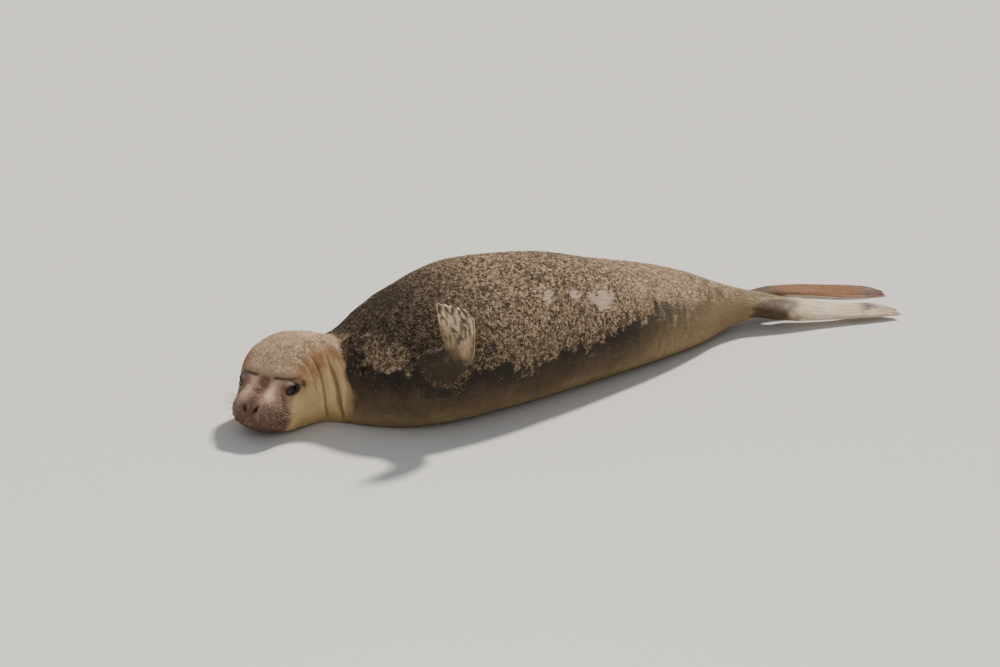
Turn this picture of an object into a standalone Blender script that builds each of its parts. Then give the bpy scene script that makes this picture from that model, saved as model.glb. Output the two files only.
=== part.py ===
"""Young northern elephant seal, life size, lying prone, chin just off the floor, left fore flipper raised.

Metres, +Z up, head toward -X, left side of the animal toward -Y. One skin surface is worked out from
profiles along a bent spine, then split into the parts of the body. Flippers, claws and eyes are fitted to it.
"""
import math

import bmesh
import bpy
import numpy as np
from mathutils import Matrix, Vector

for old in list(bpy.data.objects):
    bpy.data.objects.remove(old, do_unlink=True)

# Sizes that drive the animal.
GAP = 0.0003             # clear space between neighbouring parts
CHEST_HALF_WIDTH = 0.338
CHEST_HEIGHT = 0.500
EYE_RADIUS = 0.0265
EYE_SIDE = 0.085         # eye centre, sideways from the middle of the head
EYE_HEIGHT = 0.158
SLIT_DROP = 0.15         # how far below the eye's middle the slit runs, in eye radii
LID = 0.0032             # lids stand this far outside the eyeball
MOUTH_HEIGHT = 0.050
HEAD_RAISED = 5.0        # degrees the head is tipped up at the throat
CLAW_LENGTH = 0.030
BODY_FACES = 7900        # triangles kept for head, neck and trunk together

# Spine seen from above: x, y from the tip of the nose to the end of the tail.
SPINE = [(-0.614, 0.0325), (-0.555, 0.0665), (-0.497, 0.100), (-0.400, 0.150), (-0.305, 0.155), (-0.205, 0.105),
         (-0.100, 0.048), (0.050, 0.008), (0.300, 0.000), (0.600, 0.000), (0.890, 0.004), (1.126, 0.012),
         (1.262, 0.014), (1.395, 0.012), (1.490, 0.002), (1.570, -0.018), (1.650, -0.048), (1.730, -0.086)]

# Way that the cross-sections face: distance from the nose, degrees from the line to the tail.
FACING = [(0.00, 30), (0.19, 30), (0.34, 12), (0.50, -11), (0.75, -9), (1.00, -1), (1.90, 1), (2.12, -5),
          (2.38, -25)]

# Along the spine from the nose: distance, half width, height of the back, height of the underside.
PROFILE = [
    (0.000, 0.004, 0.088, 0.080), (0.003, 0.026, 0.102, 0.062), (0.010, 0.047, 0.118, 0.045),
    (0.022, 0.066, 0.132, 0.030), (0.040, 0.083, 0.144, 0.016), (0.065, 0.094, 0.155, 0.006),
    (0.095, 0.106, 0.174, 0.001), (0.135, 0.124, 0.214, 0.000), (0.180, 0.141, 0.256, 0.000),
    (0.240, 0.157, 0.296, 0.000), (0.310, 0.165, 0.320, 0.000), (0.380, 0.168, 0.314, 0.000),
    (0.445, 0.174, 0.298, 0.000), (0.500, 0.210, 0.320, 0.000), (0.573, 0.258, 0.372, 0.000),
    (0.650, 0.303, 0.412, 0.000), (0.728, 0.327, 0.445, 0.000), (0.850, 0.341, 0.482, 0.000),
    (0.978, CHEST_HALF_WIDTH, CHEST_HEIGHT, 0.000), (1.278, 0.300, 0.470, 0.000), (1.568, 0.247, 0.386, 0.000),
    (1.804, 0.196, 0.314, 0.000), (1.940, 0.150, 0.262, 0.002), (2.020, 0.118, 0.222, 0.012),
    (2.100, 0.092, 0.182, 0.026), (2.180, 0.076, 0.148, 0.036), (2.250, 0.058, 0.124, 0.044),
    (2.300, 0.036, 0.112, 0.052), (2.335, 0.027, 0.104, 0.058), (2.362, 0.018, 0.096, 0.064),
    (2.374, 0.004, 0.084, 0.074)]

COLOURS = {
    "crown_sandy_beige": (0.42, 0.31, 0.21), "jaw_brown": (0.26, 0.18, 0.13), "neck_tan": (0.50, 0.36, 0.21),
    "trunk_sandy_brown": (0.24, 0.17, 0.11), "tail_brown": (0.30, 0.21, 0.15), "eye_black": (0.012, 0.010, 0.009),
    "flipper_cream": (0.52, 0.42, 0.30), "hind_flipper_brown": (0.42, 0.28, 0.20),
    "hind_flipper_cream": (0.66, 0.56, 0.46), "claw_slate": (0.05, 0.055, 0.065)}


def smooth(xs, ys, x, monotone=True):
    """Cubic curve through the points (xs, ys), read at x; the monotone kind doesn't overshoot."""
    xs, ys, x = (np.asarray(v, float) for v in (xs, ys, x))
    step = np.diff(xs)
    slope = np.diff(ys) / step
    tangent = np.concatenate([slope[:1], (slope[1:] * step[:-1] + slope[:-1] * step[1:]) / (step[1:] + step[:-1]),
                              slope[-1:]])
    if monotone:
        a, b = slope[:-1], slope[1:]
        tangent[1:-1] = np.where(a * b > 0, 2 * a * b / np.where(np.abs(a + b) < 1e-9, 1, a + b), 0)
    i = np.clip(np.searchsorted(xs, x) - 1, 0, len(step) - 1)
    t = (x - xs[i]) / step[i]
    return ((2 * t ** 3 - 3 * t ** 2 + 1) * ys[i] + (t ** 3 - 2 * t ** 2 + t) * step[i] * tangent[i]
            + (3 * t ** 2 - 2 * t ** 3) * ys[i + 1] + (t ** 3 - t ** 2) * step[i] * tangent[i + 1])


def ramp(x, low, high):
    t = np.clip((x - low) / (high - low), 0, 1)
    return t * t * (3 - 2 * t)


# The spine as a dense path with its length measured from the nose.
knots = np.array(SPINE)
chord = np.concatenate([[0], np.cumsum(np.hypot(*np.diff(knots, axis=0).T))])
dense = np.linspace(0, chord[-1], 900)
path = np.stack([smooth(chord, knots[:, k], dense, monotone=False) for k in (0, 1)], 1)
path_length = np.concatenate([[0], np.cumsum(np.hypot(*np.diff(path, axis=0).T))])


def spine_at(s):
    """Place of the cross-section at distance s from the nose, and the way it faces toward the tail."""
    inside = np.clip(s, 0, path_length[-1])
    place = np.stack([np.interp(inside, path_length, path[:, k]) for k in (0, 1)], -1)
    turn = np.radians(smooth([r[0] for r in FACING], [r[1] for r in FACING], inside))
    way = np.stack([np.cos(turn), np.sin(turn)], -1)
    return place + way * np.expand_dims(s - inside, -1), way


eye_middle, back_of_head = spine_at(0.135)
FORWARD = np.array([-back_of_head[0], -back_of_head[1], 0.0])
LEFT = np.array([-FORWARD[1], FORWARD[0], 0.0])
HEAD_ORIGIN = np.array([eye_middle[0], eye_middle[1], 0.0])


def head_place(u, v, z):
    """Point u ahead of the eyes, v to the animal's left, z above the floor."""
    return HEAD_ORIGIN + FORWARD * u + LEFT * v + np.array([0, 0, z])


throat_place, throat_way = spine_at(0.345)
THROAT = np.array([throat_place[0], throat_place[1], 0.02])


def raised(p):
    """Tips the head up at the throat: full ahead of the cheeks, nothing behind the neck."""
    d = p - THROAT
    turn = math.radians(HEAD_RAISED) * ramp(-(d[..., :2] @ throat_way), -0.07, 0.13)
    ahead, above = d @ FORWARD, d[..., 2]
    out = p + FORWARD * (ahead * (np.cos(turn) - 1) - above * np.sin(turn))[..., None]
    out[..., 2] = np.maximum(p[..., 2] + ahead * np.sin(turn) + above * (np.cos(turn) - 1), 0)
    return out


def hill(p, centre, radii):
    """Soft round hill in head coordinates: 1 at the centre, fading over the radii."""
    d = (p - np.array(centre)) / np.array(radii)
    return np.exp(-0.5 * (d ** 2).sum(-1))


def skin_grid(rings, around):
    """The whole skin, nose to tail, as rings of points: rings are distances from the nose."""
    s = np.asarray(rings)[:, None]
    t = (np.arange(around) + 0.5) / around * 2 * math.pi
    half, top, low = (smooth([r[0] for r in PROFILE], [r[k] for r in PROFILE], s) for k in (1, 2, 3))
    place, tail_way = spine_at(s[:, 0])
    left = np.stack([tail_way[:, 1], -tail_way[:, 0]], -1)
    middle = low + (top - low) * (0.44 + 0.06 * ramp(s, 0.02, 0.0))
    sink = 0.07 * (top - low) * ramp(s, 0.05, 0.16) * ramp(s, 2.24, 2.08)
    sine, cosine = np.sin(t)[None], np.cos(t)[None]
    power = 0.93 - 0.24 * ramp(s, 0.03, 0.10) * ramp(s, 0.36, 0.20)
    z = np.where(sine > 0, middle + (top - middle) * np.abs(sine) ** power,
                 middle - (middle - low + sink) * np.abs(sine) ** power)
    side = half * np.sign(cosine) * np.abs(cosine) ** power
    z = np.maximum(z, low)
    x, y = (place[:, k, None] + left[:, k, None] * side for k in (0, 1))
    p = np.stack([x, y, z], -1)
    return s + 0 * sine, side, p


def normals_of(p):
    along = np.gradient(p, axis=0)
    round_ = np.roll(p, -1, 1) - np.roll(p, 1, 1)
    n = np.cross(along, round_)
    return n / np.maximum(np.linalg.norm(n, axis=-1, keepdims=True), 1e-12)


def fold(s, side, z, at, depth, width):
    """Crease across the left of the neck: a groove with a soft roll on each side."""
    slant = 0.25 * (0.21 - z) + 0.045 * ramp(z, 0.10, 0.0)
    d = (s - at - slant) / width
    reach = ramp(side, -0.06, 0.08) * ramp(z, 0.005, 0.05) * ramp(z, 0.28, 0.20)
    groove, roll = np.exp(-0.5 * (d * 2.4) ** 2), np.exp(-0.5 * ((np.abs(d) - 1.3) * 1.4) ** 2)
    return depth * reach * (0.55 * roll - groove)


def shaped_skin(rings, around):
    """Skin with the forms of the face, the folds of the neck and the ear pits raised or sunk in it."""
    s, side, p = skin_grid(rings, around)
    n = normals_of(p)
    d = p - HEAD_ORIGIN
    h = np.stack([d @ FORWARD, d @ LEFT, p[..., 2]], -1)
    m = h * [1, 0, 1] + np.abs(h) * [0, 1, 0]          # both halves of the face alike
    out = 0.0105 * hill(m, (0.082, 0.064, 0.086), (0.030, 0.034, 0.030))      # whisker pads
    out += 0.0060 * hill(m, (0.055, 0.045, 0.150), (0.045, 0.017, 0.030))     # ridges along the snout
    out -= 0.0042 * hill(m, (0.075, 0.000, 0.150), (0.050, 0.015, 0.040))     # dark furrow between them
    out -= 0.0045 * hill(m, (0.132, 0.000, 0.070), (0.030, 0.005, 0.026))     # cleft under the nose
    out += 0.0090 * hill(m, (0.006, 0.078, 0.213), (0.028, 0.034, 0.016))     # brow
    across_brow = ramp(m[..., 1], 0.020, 0.045) * ramp(m[..., 1], 0.125, 0.105)
    out -= 0.0050 * np.exp(-0.5 * ((m[..., 2] - 0.196) / 0.0042) ** 2) * across_brow * ramp(m[..., 0], -0.035, -0.015)
    out -= 0.0065 * hill(m, (0.034, 0.086, 0.152), (0.020, 0.026, 0.022))     # hollow before the eye
    out -= 0.0045 * hill(m, (-0.045, 0.118, 0.160), (0.010, 0.030, 0.030))    # fold behind the eye
    out += 0.0050 * hill(m, (-0.075, 0.125, 0.130), (0.026, 0.040, 0.045))    # cheek
    out -= 0.0100 * hill(m, (-0.088, 0.132, 0.186), (0.0045, 0.02, 0.0045))   # ear pit
    out += 0.0020 * hill(m, (-0.088, 0.132, 0.186), (0.012, 0.03, 0.012))
    # Nostrils: slanting slits high on the front of the snout.
    q = m - np.array([0.120, 0.023, 0.104])
    slit = q[..., 1] * 0.55 + q[..., 2] * 0.83
    across = q[..., 1] * 0.83 - q[..., 2] * 0.55
    front = ramp(m[..., 0], 0.06, 0.09)
    out -= 0.0120 * np.exp(-0.5 * ((across / 0.0042) ** 2 + (slit / 0.0120) ** 4)) * front
    out += 0.0030 * np.exp(-0.5 * ((across / 0.012) ** 2 + (slit / 0.018) ** 2)) * front
    # Line of the mouth, rising a little toward its corner, with the lips rolled on both sides of it.
    line = mouth_line(m[..., 0])
    lips = ramp(m[..., 0], -0.030, -0.008)
    v = (m[..., 2] - line) / 0.0038
    out += lips * (-0.0065 * np.exp(-0.5 * v ** 2) + 0.0030 * np.exp(-0.5 * ((np.abs(v) - 2.6) / 1.2) ** 2))
    out += fold(s, side, p[..., 2], 0.250, 0.0070, 0.012)
    out += fold(s, side, p[..., 2], 0.330, 0.0100, 0.015)
    out += fold(s, side, p[..., 2], 0.208, 0.0030, 0.009) * ramp(p[..., 2], 0.13, 0.16)
    # Short upright wrinkles where the flank meets the thigh.
    wave = np.sin((s - 1.60) / 0.020 * math.pi) * np.exp(-0.5 * ((s - 1.68) / 0.06) ** 2)
    out += 0.0030 * wave * ramp(side, 0.10, 0.16) * np.exp(-0.5 * ((p[..., 2] - 0.11) / 0.05) ** 2)
    floor_fade = ramp(p[..., 2], 0.001, 0.02)
    p = p + n * (out * floor_fade)[..., None]
    for sign in (1, -1):
        p = lids(p, sign)
    p[..., 2] = np.maximum(p[..., 2], 0)
    return p


def mouth_line(u):
    return MOUTH_HEIGHT + 0.020 * ramp(u, 0.11, 0.00)


def eye_axes(sign):
    """Centre of an eye, and its outward, forward and upward directions."""
    outward = LEFT * sign * 0.86 + FORWARD * 0.42 + np.array([0, 0, 0.28])
    outward /= np.linalg.norm(outward)
    forward = FORWARD - outward * (FORWARD @ outward) + np.array([0, 0, -0.16])
    forward -= outward * (forward @ outward)
    forward /= np.linalg.norm(forward)
    upward = np.cross(outward, forward) * -sign
    upward *= np.sign(upward[2])
    return head_place(0.0, sign * EYE_SIDE, EYE_HEIGHT), outward, forward, upward


def lids(p, sign):
    """Draws the skin over the eyeball as heavy lids and opens the slit between them."""
    centre, outward, forward, upward = eye_axes(sign)
    q = p - centre
    dist = np.linalg.norm(q, axis=-1)
    unit = q / np.maximum(dist, 1e-9)[..., None]
    facing, a, b = unit @ outward, unit @ forward, unit @ upward
    cover = ramp(facing, 0.25, 0.72) * ramp(dist, 0.062, 0.042)
    radius = EYE_RADIUS + LID
    crease = 0.0032 * np.exp(-0.5 * ((b - 0.62 + 0.25 * a * a) / 0.07) ** 2) * ramp(np.abs(a), 0.75, 0.4)
    rim = 0.0014 * np.exp(-0.5 * ((np.abs(b + SLIT_DROP) - opening(a)) / 0.09) ** 2) * ramp(np.abs(a), 1.0, 0.7)
    wanted = radius - crease + rim
    open_ = ramp(opening(a) - np.abs(b + SLIT_DROP), -0.035, 0.055) * ramp(facing, 0.2, 0.4)
    wanted = wanted * (1 - open_) + (EYE_RADIUS - 0.0045) * open_
    drawn = dist + (wanted - dist) * cover
    near = ramp(facing, -0.75, -0.45) * (1 - open_)
    drawn = np.where((dist < 0.05) & (near > 0), np.maximum(drawn, near * (radius - crease)), drawn)
    return p + unit * (drawn - dist)[..., None]


def opening(a):
    return 0.40 * np.sqrt(np.clip(1 - (a / 0.85) ** 2, 0, 1)) - 0.02


def mesh_object(name, vertices, faces):
    mesh = bpy.data.meshes.new(name)
    mesh.from_pydata([tuple(map(float, v)) for v in vertices], [], [tuple(map(int, f)) for f in faces])
    mesh.update()
    made = bpy.data.objects.new(name, mesh)
    bpy.context.scene.collection.objects.link(made)
    return made


def tube(name, grid):
    """Closed solid from rings of points, the first and last rings shut by a fan."""
    rings, around = grid.shape[:2]
    vertices = np.concatenate([grid.reshape(-1, 3), grid[:1].mean(1), grid[-1:].mean(1)])
    faces = []
    for i in range(rings - 1):
        for j in range(around):
            k = (j + 1) % around
            faces.append((i * around + j, i * around + k, (i + 1) * around + k, (i + 1) * around + j))
    first, last = rings * around, rings * around + 1
    for j in range(around):
        k = (j + 1) % around
        faces.append((first, k, j))
        faces.append((last, (rings - 1) * around + j, (rings - 1) * around + k))
    made = mesh_object(name, vertices, faces)
    face_out(made)
    return made


def face_out(made):
    work = bmesh.new()
    work.from_mesh(made.data)
    bmesh.ops.remove_doubles(work, verts=work.verts, dist=1e-6)
    bmesh.ops.recalc_face_normals(work, faces=work.faces)
    if work.calc_volume() < 0:
        bmesh.ops.reverse_faces(work, faces=work.faces)
    work.to_mesh(made.data)
    work.free()


def settle(made):
    """Turns an object's modifiers into its own mesh."""
    graph = bpy.context.evaluated_depsgraph_get()
    graph.update()
    mesh = bpy.data.meshes.new_from_object(made.evaluated_get(graph), depsgraph=graph)
    made.modifiers.clear()
    made.data = mesh
    mesh.name = made.name
    return made


def combine(made, other, operation, keep_other=False):
    """Cuts, joins or keeps the common part of two solids."""
    work = made.modifiers.new(operation.lower(), "BOOLEAN")
    work.operation, work.solver, work.object = operation, "EXACT", other
    settle(made)
    if not keep_other:
        bpy.data.objects.remove(other, do_unlink=True)
    return made


def copy_of(made, name):
    twin = made.copy()
    twin.data = made.data.copy()
    twin.name = name
    bpy.context.scene.collection.objects.link(twin)
    return twin


def swollen(made, by):
    """Copy of a solid grown by a small distance, for cutting its neighbour clear of it."""
    twin = copy_of(made, made.name + "_grown")
    work = bmesh.new()
    work.from_mesh(twin.data)
    bmesh.ops.triangulate(work, faces=work.faces)
    work.normal_update()
    for v in work.verts:
        v.co = v.co + v.normal * by * v.calc_shell_factor()
    work.to_mesh(twin.data)
    work.free()
    return twin


def between(name, start, end):
    """Box that holds the trunk between two distances along the spine, with half a gap left at each end."""
    corners = []
    for s, inward in ((start, GAP / 2), (end, -GAP / 2)):
        place, way = spine_at(np.array(s))
        centre = np.array([place[0] + way[0] * inward, place[1] + way[1] * inward])
        across = np.array([way[1], -way[0]])
        for side, z in ((-0.42, -0.2), (0.42, -0.2), (0.42, 0.8), (-0.42, 0.8)):
            corners.append((*(centre + across * side), z))
    sides = [(0, 1, 2, 3), (7, 6, 5, 4), (0, 4, 5, 1), (1, 5, 6, 2), (2, 6, 7, 3), (3, 7, 4, 0)]
    made = mesh_object(name, corners, sides)
    face_out(made)
    return made


# The skin from nose to tail, worked out finely and then reduced where it is plain.
fine = np.concatenate([[0, 0.0012, 0.003], np.arange(0.005, 0.20, 0.0022), np.arange(0.20, 0.50, 0.004),
                       np.arange(0.50, 1.56, 0.020), np.arange(1.56, 1.88, 0.006), np.arange(1.88, 2.35, 0.012),
                       [2.352, 2.362, 2.370, 2.374]])
skin = tube("skin", shaped_skin(fine, 256))
reduced = skin.modifiers.new("reduce", "DECIMATE")
work = bmesh.new()
work.from_mesh(skin.data)
bmesh.ops.triangulate(work, faces=work.faces)
whole = len(work.faces)
work.to_mesh(skin.data)
work.free()
reduced.ratio = BODY_FACES / whole
settle(skin)
for v in skin.data.vertices:
    if v.co.z < 0.0006:
        v.co.z = 0.0
face_out(skin)

parts = {}
cuts = [("head", -0.5, 0.345), ("neck", 0.345, 0.575), ("chest", 0.575, 1.120), ("belly", 1.120, 1.620),
        ("hips", 1.620, 2.215), ("tail", 2.215, 2.9)]
for name, start, end in cuts:
    piece = copy_of(skin, name)
    box = between("box", start, end)
    parts[name] = combine(piece, box, "INTERSECT")
bpy.data.objects.remove(skin, do_unlink=True)

# Eyes, each a ball in its own socket.
for word, sign in (("left", 1), ("right", -1)):
    centre = eye_axes(sign)[0]
    for name, radius in ((word + "_eye", EYE_RADIUS), ("socket", EYE_RADIUS + GAP)):
        ball = bmesh.new()
        bmesh.ops.create_icosphere(ball, subdivisions=3, radius=radius)
        bmesh.ops.translate(ball, verts=ball.verts, vec=Vector(centre))
        mesh = bpy.data.meshes.new(name)
        ball.to_mesh(mesh)
        ball.free()
        made = bpy.data.objects.new(name, mesh)
        bpy.context.scene.collection.objects.link(made)
        if name == "socket":
            combine(parts["head"], made, "DIFFERENCE")
        else:
            parts[name] = made


def jaw_block(name, rise):
    """Solid under the line of the mouth, from the chin back to the corner of the jaw."""
    us = np.linspace(0.20, -0.022, 9)
    top = [head_place(u, 0, 0)[:2].tolist() + [float(mouth_line(np.array(u))) + rise] for u in us]
    top.append(head_place(-0.034 - rise, 0, 0)[:2].tolist() + [0.055])
    top.append(head_place(-0.046 - rise, 0, 0)[:2].tolist() + [-0.05])
    low = head_place(0.20, 0, 0)[:2].tolist() + [-0.05]
    outline = [np.array(v) for v in top + [low]]
    count = len(outline)
    vertices = [v + LEFT * side for side in (-0.2, 0.2) for v in outline]
    faces = [tuple(range(count)), tuple(range(2 * count - 1, count - 1, -1))]
    faces += [(k, (k + 1) % count, count + (k + 1) % count, count + k) for k in range(count)]
    made = mesh_object(name, vertices, faces)
    face_out(made)
    return made


jaw = copy_of(parts["head"], "lower_jaw")
parts["lower_jaw"] = combine(jaw, jaw_block("jaw_block", -GAP), "INTERSECT")
combine(parts["head"], jaw_block("jaw_room", 0.0), "DIFFERENCE")


def paddle(name, sections, ridge, around=22, steps=3, scallop=0.006):
    """Flipper blade through its sections with finger rays raised in it, and the sizes of its tip."""
    lead, trail = (np.array([s[k] for s in sections], float) for k in (0, 1))
    thick = np.array([s[2] for s in sections], float)
    at = np.linspace(0, 1, len(sections))
    l = np.linspace(0, 1, (len(sections) - 1) * steps + 1)
    lead = np.stack([smooth(at, lead[:, k], l, False) for k in range(3)], -1)
    trail = np.stack([smooth(at, trail[:, k], l, False) for k in range(3)], -1)
    thick = smooth(at, thick, l)
    middle = (lead + trail) / 2
    across = trail - lead
    along = np.gradient(middle, axis=0)
    normal = np.cross(along, across)
    normal /= np.linalg.norm(normal, axis=-1, keepdims=True)
    t = (np.arange(around) + 0.5) / around * 2 * math.pi
    w = -np.cos(t)
    edge = np.sqrt(np.clip(1 - w * w, 0, 1)) ** 0.8 * np.sign(np.sin(t))
    rows = []
    for i in range(len(l)):
        grown = ramp(l[i], 0.35, 0.8)
        bump = 0.5 + 0.5 * np.cos((w * 0.5 + 0.5) * FINGERS * 2 * math.pi + math.pi)
        height = thick[i] * edge + np.sign(edge) * ridge * grown * (bump - 0.5) * np.abs(edge)
        tip = scallop * grown ** 3 * bump
        way = along[i] / np.linalg.norm(along[i])
        flat = middle[i] + 0.5 * across[i] * w[:, None]
        rows.append(flat + normal[i] * height[:, None] + way * tip[:, None])
    # two more rings round the free edge off
    for shrink, ahead in ((0.72, 0.0035), (0.35, 0.0055)):
        last = rows[len(l) - 1]
        centre_line = middle[-1] + 0.5 * across[-1] * w[:, None] * (0.985 if shrink > 0.5 else 0.96)
        offset = last - (middle[-1] + 0.5 * across[-1] * w[:, None])
        flat = offset - normal[-1] * (offset @ normal[-1])[:, None]
        rows.append(centre_line + flat + normal[-1] * (offset @ normal[-1])[:, None] * shrink + way * ahead)
    grid = np.array(rows)
    grid[..., 2] = np.maximum(grid[..., 2], 0)         # what reaches the floor lies flat on it
    made = blade(name, grid)
    return made, dict(lead=lead[-1], trail=trail[-1], normal=normal[-1], along=along[-1], thick=thick[-1])


def blade(name, grid):
    """Closed solid from flat rings: the ends are shut by strips from the upper to the lower side."""
    rings, around = grid.shape[:2]
    faces = []
    for i in range(rings - 1):
        for j in range(around):
            k = (j + 1) % around
            faces.append((i * around + j, i * around + k, (i + 1) * around + k, (i + 1) * around + j))
    for base in (0, (rings - 1) * around):
        for j in range(around // 2 - 1):
            quad = (base + j, base + j + 1, base + around - 2 - j, base + around - 1 - j)
            faces.append(quad[::-1] if base == 0 else quad)
    made = mesh_object(name, grid.reshape(-1, 3), faces)
    face_out(made)
    work = bmesh.new()
    work.from_mesh(made.data)
    bmesh.ops.triangulate(work, faces=work.faces)
    work.to_mesh(made.data)
    work.free()
    return made


def claw(name, base, way, normal, length, radius):
    """Slim curved nail that starts in the skin over the finger tip."""
    across = np.cross(way, normal)
    rows = []
    for step in np.linspace(0, 1, 4):
        centre = base + way * length * (step - 0.35) + normal * (radius * (0.75 - 1.1 * step ** 2))
        size = radius * (1 - step ** 2.2) * 0.98 + 0.0005
        t = np.arange(6) / 6 * 2 * math.pi
        rows.append(centre + size * (np.cos(t)[:, None] * across + 0.8 * np.sin(t)[:, None] * normal))
    return tube(name, np.array(rows))


# Sections of each flipper from root to tip: leading edge, trailing edge, half thickness.
# Raised left fore flipper: root in the chest, wrist bent, hand upright with its back to the side.
LEFT_FORE = [
    ((-0.045, -0.205, 0.315), (-0.015, -0.215, 0.140), 0.046),
    ((-0.036, -0.262, 0.328), (0.008, -0.285, 0.186), 0.042),
    ((-0.018, -0.302, 0.344), (0.050, -0.335, 0.242), 0.034),
    ((-0.018, -0.322, 0.376), (0.076, -0.372, 0.312), 0.027),
    ((-0.036, -0.330, 0.425), (0.074, -0.388, 0.380), 0.021),
    ((-0.050, -0.333, 0.480), (0.070, -0.392, 0.460), 0.015),
    ((-0.058, -0.335, 0.538), (0.046, -0.386, 0.502), 0.009)]
# Right fore flipper: flat on the floor, laid back along the flank.
RIGHT_FORE = [
    ((-0.010, 0.190, 0.060), (0.140, 0.195, 0.085), 0.040),
    ((0.020, 0.262, 0.048), (0.160, 0.255, 0.060), 0.034),
    ((0.075, 0.330, 0.030), (0.185, 0.290, 0.034), 0.027),
    ((0.140, 0.375, 0.022), (0.235, 0.303, 0.022), 0.020),
    ((0.205, 0.400, 0.016), (0.290, 0.314, 0.016), 0.015),
    ((0.268, 0.412, 0.012), (0.334, 0.324, 0.012), 0.011),
    ((0.328, 0.414, 0.008), (0.360, 0.340, 0.008), 0.0075)]
# Hind flippers: laid back together, pointed toward their tips.
LEFT_HIND = [
    ((1.440, -0.048, 0.088), (1.450, -0.004, 0.104), 0.022),
    ((1.540, -0.092, 0.064), (1.570, -0.014, 0.094), 0.034),
    ((1.640, -0.140, 0.044), (1.690, -0.028, 0.082), 0.028),
    ((1.730, -0.168, 0.032), (1.775, -0.080, 0.068), 0.020),
    ((1.830, -0.200, 0.025), (1.858, -0.124, 0.054), 0.0145),
    ((1.925, -0.234, 0.021), (1.945, -0.144, 0.046), 0.011),
    ((1.995, -0.256, 0.019), (2.005, -0.178, 0.038), 0.0085),
    ((2.034, -0.264, 0.018), (2.040, -0.225, 0.028), 0.0065)]
RIGHT_HIND = [
    ((1.450, 0.008, 0.100), (1.450, 0.052, 0.100), 0.022),
    ((1.550, 0.004, 0.080), (1.560, 0.066, 0.092), 0.034),
    ((1.665, 0.000, 0.076), (1.665, 0.069, 0.093), 0.028),
    ((1.770, -0.040, 0.070), (1.775, 0.042, 0.091), 0.020),
    ((1.870, -0.096, 0.060), (1.870, 0.002, 0.086), 0.0145),
    ((1.955, -0.128, 0.052), (1.960, -0.036, 0.079), 0.011),
    ((2.020, -0.140, 0.048), (2.025, -0.068, 0.069), 0.0085),
    ((2.056, -0.142, 0.047), (2.060, -0.104, 0.058), 0.0065)]

FINGERS = 5
parts["left_fore_flipper"], left_hand = paddle("left_fore_flipper", LEFT_FORE, 0.0045)
parts["right_fore_flipper"], right_hand = paddle("right_fore_flipper", RIGHT_FORE, 0.0045)
parts["left_hind_flipper"] = paddle("left_hind_flipper", LEFT_HIND, 0.0040)[0]
parts["right_hind_flipper"] = paddle("right_hind_flipper", RIGHT_HIND, 0.0040)[0]

for name, neighbours in (("left_fore_flipper", ("chest",)), ("right_fore_flipper", ("chest",)),
                         ("left_hind_flipper", ("hips", "tail")), ("right_hind_flipper", ("hips", "tail"))):
    for other in neighbours:
        combine(parts[name], swollen(parts[other], GAP), "DIFFERENCE")

# Five claws on the back of each fore flipper, which faces out on the raised one and up on the other.
for word, tip, back in (("left", left_hand, (-0.5, -0.8, 0.3)), ("right", right_hand, (0, 0, 1))):
    up = tip["normal"] * np.sign(tip["normal"] @ np.array(back))
    way = tip["along"] / np.linalg.norm(tip["along"])
    grown = swollen(parts[word + "_fore_flipper"], GAP)
    for finger in range(FINGERS):
        share = (finger + 0.5) / FINGERS
        base = tip["lead"] * (1 - share) + tip["trail"] * share + up * tip["thick"] * 0.9
        nail = claw(f"{word}_fore_claw_{finger + 1}", base, way, up, CLAW_LENGTH, 0.0048)
        parts[nail.name] = combine(nail, grown, "DIFFERENCE", keep_other=True)
    bpy.data.objects.remove(grown, do_unlink=True)

PAINT = {"head": "crown_sandy_beige", "lower_jaw": "jaw_brown", "neck": "neck_tan", "chest": "trunk_sandy_brown",
         "belly": "trunk_sandy_brown", "hips": "trunk_sandy_brown", "tail": "tail_brown", "left_eye": "eye_black",
         "right_eye": "eye_black", "left_fore_flipper": "flipper_cream", "right_fore_flipper": "flipper_cream",
         "left_hind_flipper": "hind_flipper_cream", "right_hind_flipper": "hind_flipper_brown"}


def paint(made, slot):
    """Gives the node its own material, named for the node and its colour."""
    material = bpy.data.materials.new(made.name + "_" + slot)
    material.use_nodes = True
    shader = material.node_tree.nodes["Principled BSDF"]
    shader.inputs["Base Color"].default_value = (*COLOURS[slot], 1)
    shader.inputs["Roughness"].default_value = 0.12 if "eye" in slot else 0.35 if "claw" in slot else 0.75
    made.data.materials.clear()
    made.data.materials.append(material)


for name in ("head", "lower_jaw", "neck", "chest", "left_eye", "right_eye"):
    for v in parts[name].data.vertices:
        v.co = raised(np.array(v.co))

corner = np.array([v.co for made in parts.values() for v in made.data.vertices])
low, high = corner.min(0), corner.max(0)
shift = Matrix.Translation(Vector((-(low[0] + high[0]) / 2, -(low[1] + high[1]) / 2, -low[2])))
for name, made in parts.items():
    made.data.transform(shift)
    made.name = made.data.name = name
    paint(made, PAINT.get(name, "claw_slate"))
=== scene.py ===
# %% [markdown]
# # A young elephant seal, modelled in cells
# The seal lies on its belly with its chin just off the floor. Its head is bent round to its left, and its
# left fore flipper is raised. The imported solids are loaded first. They give the frame: where the animal
# is and how large. Everything made below stays within a few centimetres of their box.

# %% Load the frame
import math

import bmesh
import bpy
import numpy as np
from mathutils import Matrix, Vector, noise
from mathutils.kdtree import KDTree


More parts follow.
